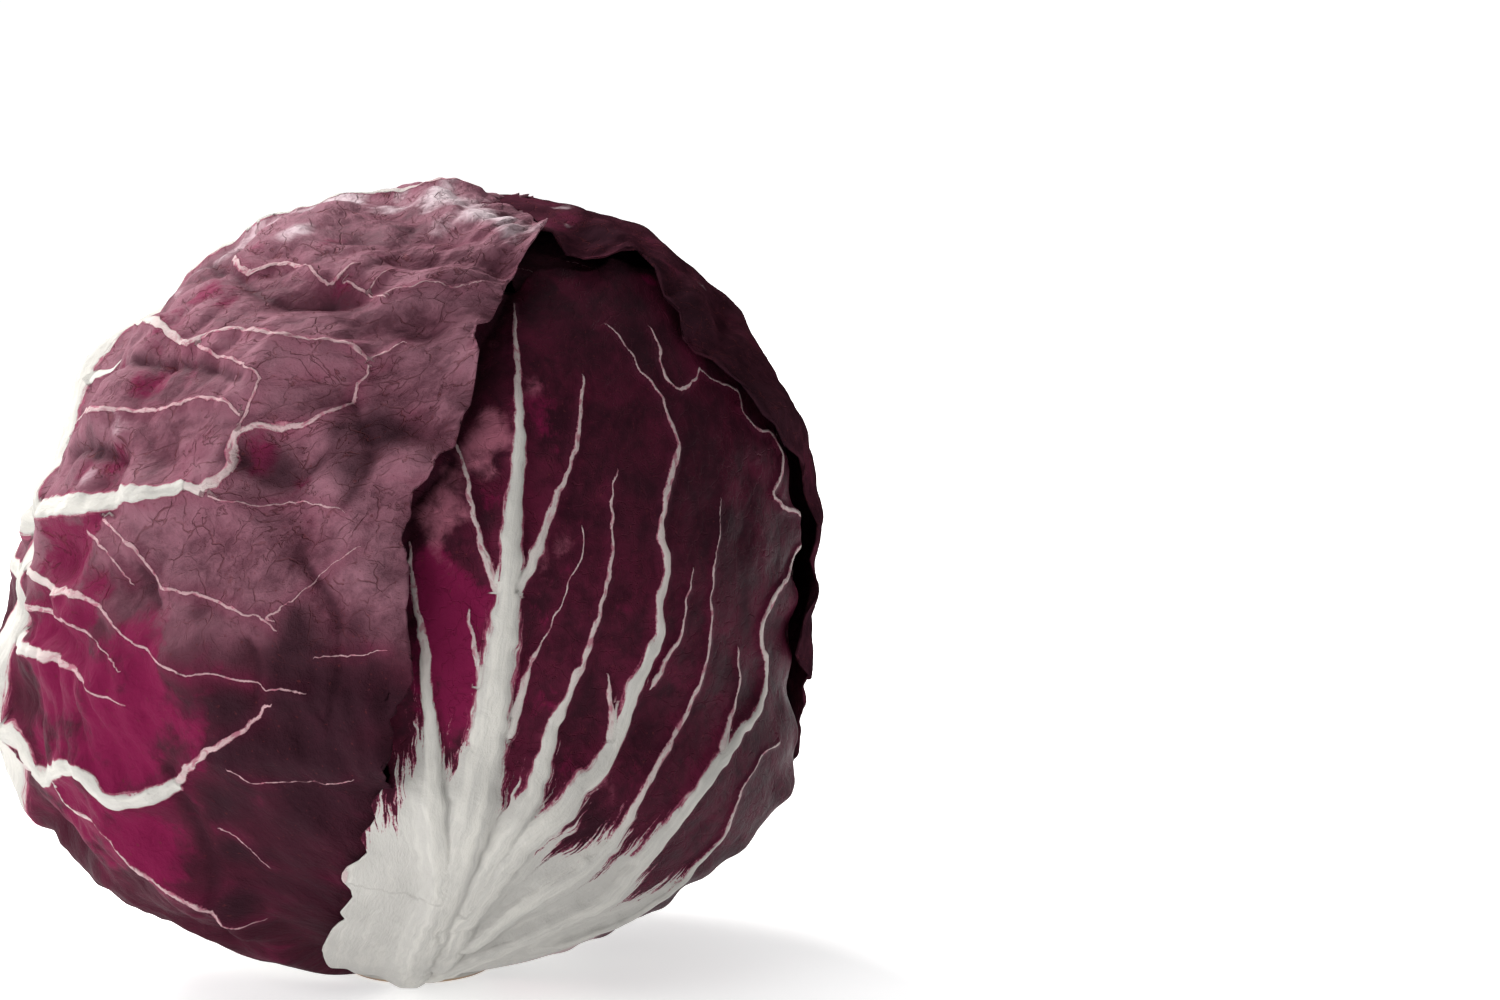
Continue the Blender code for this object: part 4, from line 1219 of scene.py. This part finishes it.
def heart_shape():
    """Points of the closed inner leaves, and the values that their skin is coloured by."""
    rings, columns = HEART_GRID
    polar = np.linspace(0.0, 180.0, rings + 2)[1:-1, None] + np.zeros((1, columns))
    azimuth = np.arange(columns)[None, :] * 360.0 / columns + np.zeros((rings, 1))
    toward = direction(polar, azimuth)
    turn = (azimuth + HEART_TWIST * polar) * HEART_LEAVES / 360.0
    steps = HEART_STEP * (turn % 1.0) * np.sin(np.radians(polar))
    dimple = HEART_DIMPLE * np.exp(-((polar / HEART_DIMPLE_SPREAD) ** 2))
    climb = np.linspace(14.0, 165.0, 30)
    twist = HEART_TWIST * np.linspace(0, 150, 30)
    routes = [smooth_route(direction(climb, start - twist), HEART_RIB_WIDTHS) for start in HEART_RIBS]
    side, gap, half, _ = vein_field(toward, routes)
    relief = HEART_RIB_HEIGHT * np.exp(-((gap / (half + 0.0004)) ** 2))
    reach = head_round(toward) - HEART_DEPTH - dimple - steps + relief
    ends = direction(np.array([0.0, 180.0]), np.array([0.0, 0.0]))
    end_reach = head_round(ends) - HEART_DEPTH - np.array([HEART_DIMPLE, 0.0])
    points = np.concatenate([(toward * reach[..., None]).reshape(-1, 3), ends * end_reach[:, None]])
    place = np.stack([np.radians(polar) * 45.0, np.radians(azimuth) * 40.0, np.zeros(gap.shape)], axis=-1)
    # Each value with what it is at the two end points.
    values = {
        "vein_side": (side / MILLIMETRE, 9.0),
        "vein_gap": (gap / MILLIMETRE, 9.0),
        "vein_half": (half / MILLIMETRE, 0.2),
        "base_white": ((40.0 - polar) / 20.0, 0.0),
        "relief": (relief / MILLIMETRE, 0.0),
        "film_and_sheen": (np.ones(gap.shape), 0.0),
        "tint_and_painted_light": (np.zeros(toward.shape), 0.0),
        "place": (place, 0.0),
        "flow": (place, 0.0),
    }
    for key, (array, last) in values.items():
        flat = array.reshape(rings * columns, -1)
        values[key] = np.concatenate([flat, np.full((2, flat.shape[1]), last)])
    return points + CENTRE, values


class RADICCHIO_OT_heart(bpy.types.Operator):
    """Build the closed inner leaves"""

    bl_idname = "radicchio.heart"
    bl_label = "Heart"

    def execute(self, context):
        colours = context.scene.radicchio_colours
        points, values = heart_shape()
        piece = mesh_piece("heart_fine", points, closed_faces(*HEART_GRID), values)
        material = leaf_material("heart_leaf", 0.1, 0.6, colours.wine, colours.wine_deep, colours.dusk_and_sheen,
                                 colours.dusk_and_sheen)
        finish_piece(piece, material, "heart")
        return {"FINISHED"}


class RADICCHIO_OT_left_leaf(bpy.types.Operator):
    """Build the crumpled outer leaf on the left"""

    bl_idname = "radicchio.left_leaf"
    bl_label = "Left leaf"

    def execute(self, context):
        colours = context.scene.radicchio_colours
        leaf = LEAVES["leaf_left"]
        routes = grown_veins(leaf, 11, sides=(-1,), laterals=9, half=0.0012)
        midrib = routes[0][0]
        routes += traced_veins(leaf, LEFT_VEINS_FROM_MIDRIB, midrib)
        routes += traced_veins(leaf, LEFT_VEINS)
        shaded_creases = traced_veins(leaf, LEFT_SHADED_CREASES)
        material = leaf_material("dusty_left_leaf", 0.68, 0.35, colours.plum, colours.plum_deep,
                                 colours.bloom_and_sheen, colours.painted_glare, rub=0.45, cracks=0.5, pink=0.8)
        build_leaf("leaf_left", routes, material, (LEFT_MAGENTA, LEFT_PAINTED_SHADE, LEFT_PAINTED_HIGHLIGHTS), shaded_creases)
        return {"FINISHED"}


class RADICCHIO_OT_back_right_leaf(bpy.types.Operator):
    """Build the leaf at the back and upper right, its plum darkened as painted shade"""

    bl_idname = "radicchio.back_right_leaf"
    bl_label = "Back right leaf"

    def execute(self, context):
        colours = context.scene.radicchio_colours
        routes = grown_veins(LEAVES["leaf_back_right"], 23, sides=(1,), laterals=8, half=0.0008)
        material = leaf_material("shaded_back_leaf", 0.05, 0.35, colours.shaded_plum, colours.shaded_plum_deep,
                                 colours.dusk_and_sheen, colours.painted_glare, rub=0.3, pink=0.8, shine=0.0)
        build_leaf("leaf_back_right", routes, material, ((), BACK_PAINTED_SHADE, BACK_PAINTED_HIGHLIGHTS))
        return {"FINISHED"}


class RADICCHIO_OT_front_leaf(bpy.types.Operator):
    """Build the smooth dark front leaf with its fan of ribs"""

    bl_idname = "radicchio.front_leaf"
    bl_label = "Front leaf"

    def execute(self, context):
        colours = context.scene.radicchio_colours
        leaf = LEAVES["leaf_front"]
        routes = traced_veins(leaf, FRONT_VEINS)
        shaded_creases = traced_veins(leaf, FRONT_SHADOW_CREASES)
        material = leaf_material("wine_front_leaf", 0.02, 0.85, colours.wine, colours.wine_deep,
                                 colours.painted_front_gloss, colours.painted_front_gloss, rub=0.18, cracks=0.05, feather=0.7, pink=0.45)
        build_leaf("leaf_front", routes, material, (FRONT_MAGENTA, FRONT_PAINTED_SHADE, FRONT_PAINTED_HIGHLIGHTS), shaded_creases)
        return {"FINISHED"}


class RADICCHIO_OT_under_leaves(bpy.types.Operator):
    """Build the leaves that lie under the outer ones"""

    bl_idname = "radicchio.under_leaves"
    bl_label = "Under leaves"

    def execute(self, context):
        colours = context.scene.radicchio_colours
        material = leaf_material("wine_under_leaf", 0.15, 0.6, colours.wine, colours.wine_deep, colours.dusk_and_sheen,
                                 colours.dusk_and_sheen)
        for seed, name in enumerate(("leaf_right", "leaf_back_left", "leaf_inner_left", "leaf_inner_back")):
            build_leaf(name, grown_veins(LEAVES[name], 40 + seed, laterals=7), material)
        return {"FINISHED"}


def area_light(name, place, size, power, colour):
    """A soft square light turned to the head."""
    light = bpy.data.lights.new(name, "AREA")
    light.shape = "SQUARE"
    light.size = size
    light.energy = power
    light.color = colour
    lamp = bpy.data.objects.new(name, light)
    lamp.location = place
    lamp.rotation_euler = (Vector(CENTRE) - Vector(place)).to_track_quat("-Z", "Y").to_euler()
    bpy.context.collection.objects.link(lamp)


class RADICCHIO_OT_stage(bpy.types.Operator):
    """Set the floor, the light and the camera"""

    bl_idname = "radicchio.stage"
    bl_label = "Stage"

    def execute(self, context):
        corners = np.array([(-1, -1), (1, -1), (1, 1), (-1, 1)]) * FLOOR_REACH
        corners = np.column_stack([corners, np.full(4, CAD_LOW.z)])
        floor = mesh_piece("floor", corners, np.array([(0, 1, 2), (0, 2, 3)]), {})
        floor.data.materials.append(floor_material())

        for name, light in LIGHTS.items():
            area_light(name, *light)

        world = bpy.data.worlds.new("studio")
        world.use_nodes = True
        tree = world.node_tree
        place = tree.nodes.new("ShaderNodeTexCoord")
        facing = tree.nodes.new("ShaderNodeVectorMath")
        facing.operation = "DOT_PRODUCT"
        facing.inputs[1].default_value = SKY_BRIGHT
        ramp = tree.nodes.new("ShaderNodeMapRange")
        tree.links.new(place.outputs["Generated"], facing.inputs[0])
        tree.links.new(facing.outputs["Value"], ramp.inputs["Value"])
        for key, value in SKY_RUN.items():
            ramp.inputs[key].default_value = value
        tree.links.new(ramp.outputs[0], tree.nodes["Background"].inputs["Strength"])
        tree.nodes["Background"].inputs["Color"].default_value = (1.0, 1.0, 1.0, 1.0)
        context.scene.world = world

        camera = bpy.data.objects.new("photo_camera", bpy.data.cameras.new("photo_camera"))
        camera.data.lens = LENS
        camera.data.sensor_width = SENSOR
        camera.location = Vector(VIEW.place)
        camera.rotation_euler = Vector(VIEW.forward).to_track_quat("-Z", "Y").to_euler()
        context.collection.objects.link(camera)
        context.scene.camera = camera
        context.scene.view_settings.view_transform = "Standard"
        return {"FINISHED"}


class RADICCHIO_PT_panel(bpy.types.Panel):
    """The radicchio's operators, sizes and colours"""

    bl_idname = "RADICCHIO_PT_panel"
    bl_label = "Radicchio"
    bl_space_type = "VIEW_3D"
    bl_region_type = "UI"
    bl_category = "Radicchio"

    def draw(self, context):
        for operator in OPERATORS:
            self.layout.operator(operator.bl_idname)
        for group in (context.scene.radicchio_sizes, context.scene.radicchio_colours):
            for key in group.__annotations__:
                self.layout.prop(group, key)


OPERATORS = (
    RADICCHIO_OT_stem,
    RADICCHIO_OT_heart,
    RADICCHIO_OT_left_leaf,
    RADICCHIO_OT_back_right_leaf,
    RADICCHIO_OT_front_leaf,
    RADICCHIO_OT_under_leaves,
    RADICCHIO_OT_stage,
)
CLASSES = (RadicchioSizes, RadicchioColours, *OPERATORS, RADICCHIO_PT_panel)


def register():
    for made in CLASSES:
        bpy.utils.register_class(made)
    bpy.types.Scene.radicchio_sizes = bpy.props.PointerProperty(type=RadicchioSizes)
    bpy.types.Scene.radicchio_colours = bpy.props.PointerProperty(type=RadicchioColours)


def unregister():
    del bpy.types.Scene.radicchio_colours
    del bpy.types.Scene.radicchio_sizes
    for made in reversed(CLASSES):
        bpy.utils.unregister_class(made)


def main():
    """Builds everything in order."""
    register()
    for operator in OPERATORS:
        group, name = operator.bl_idname.split(".")
        getattr(getattr(bpy.ops, group), name)()
    bpy.context.view_layer.update()


if __name__ == "__main__":
    main()
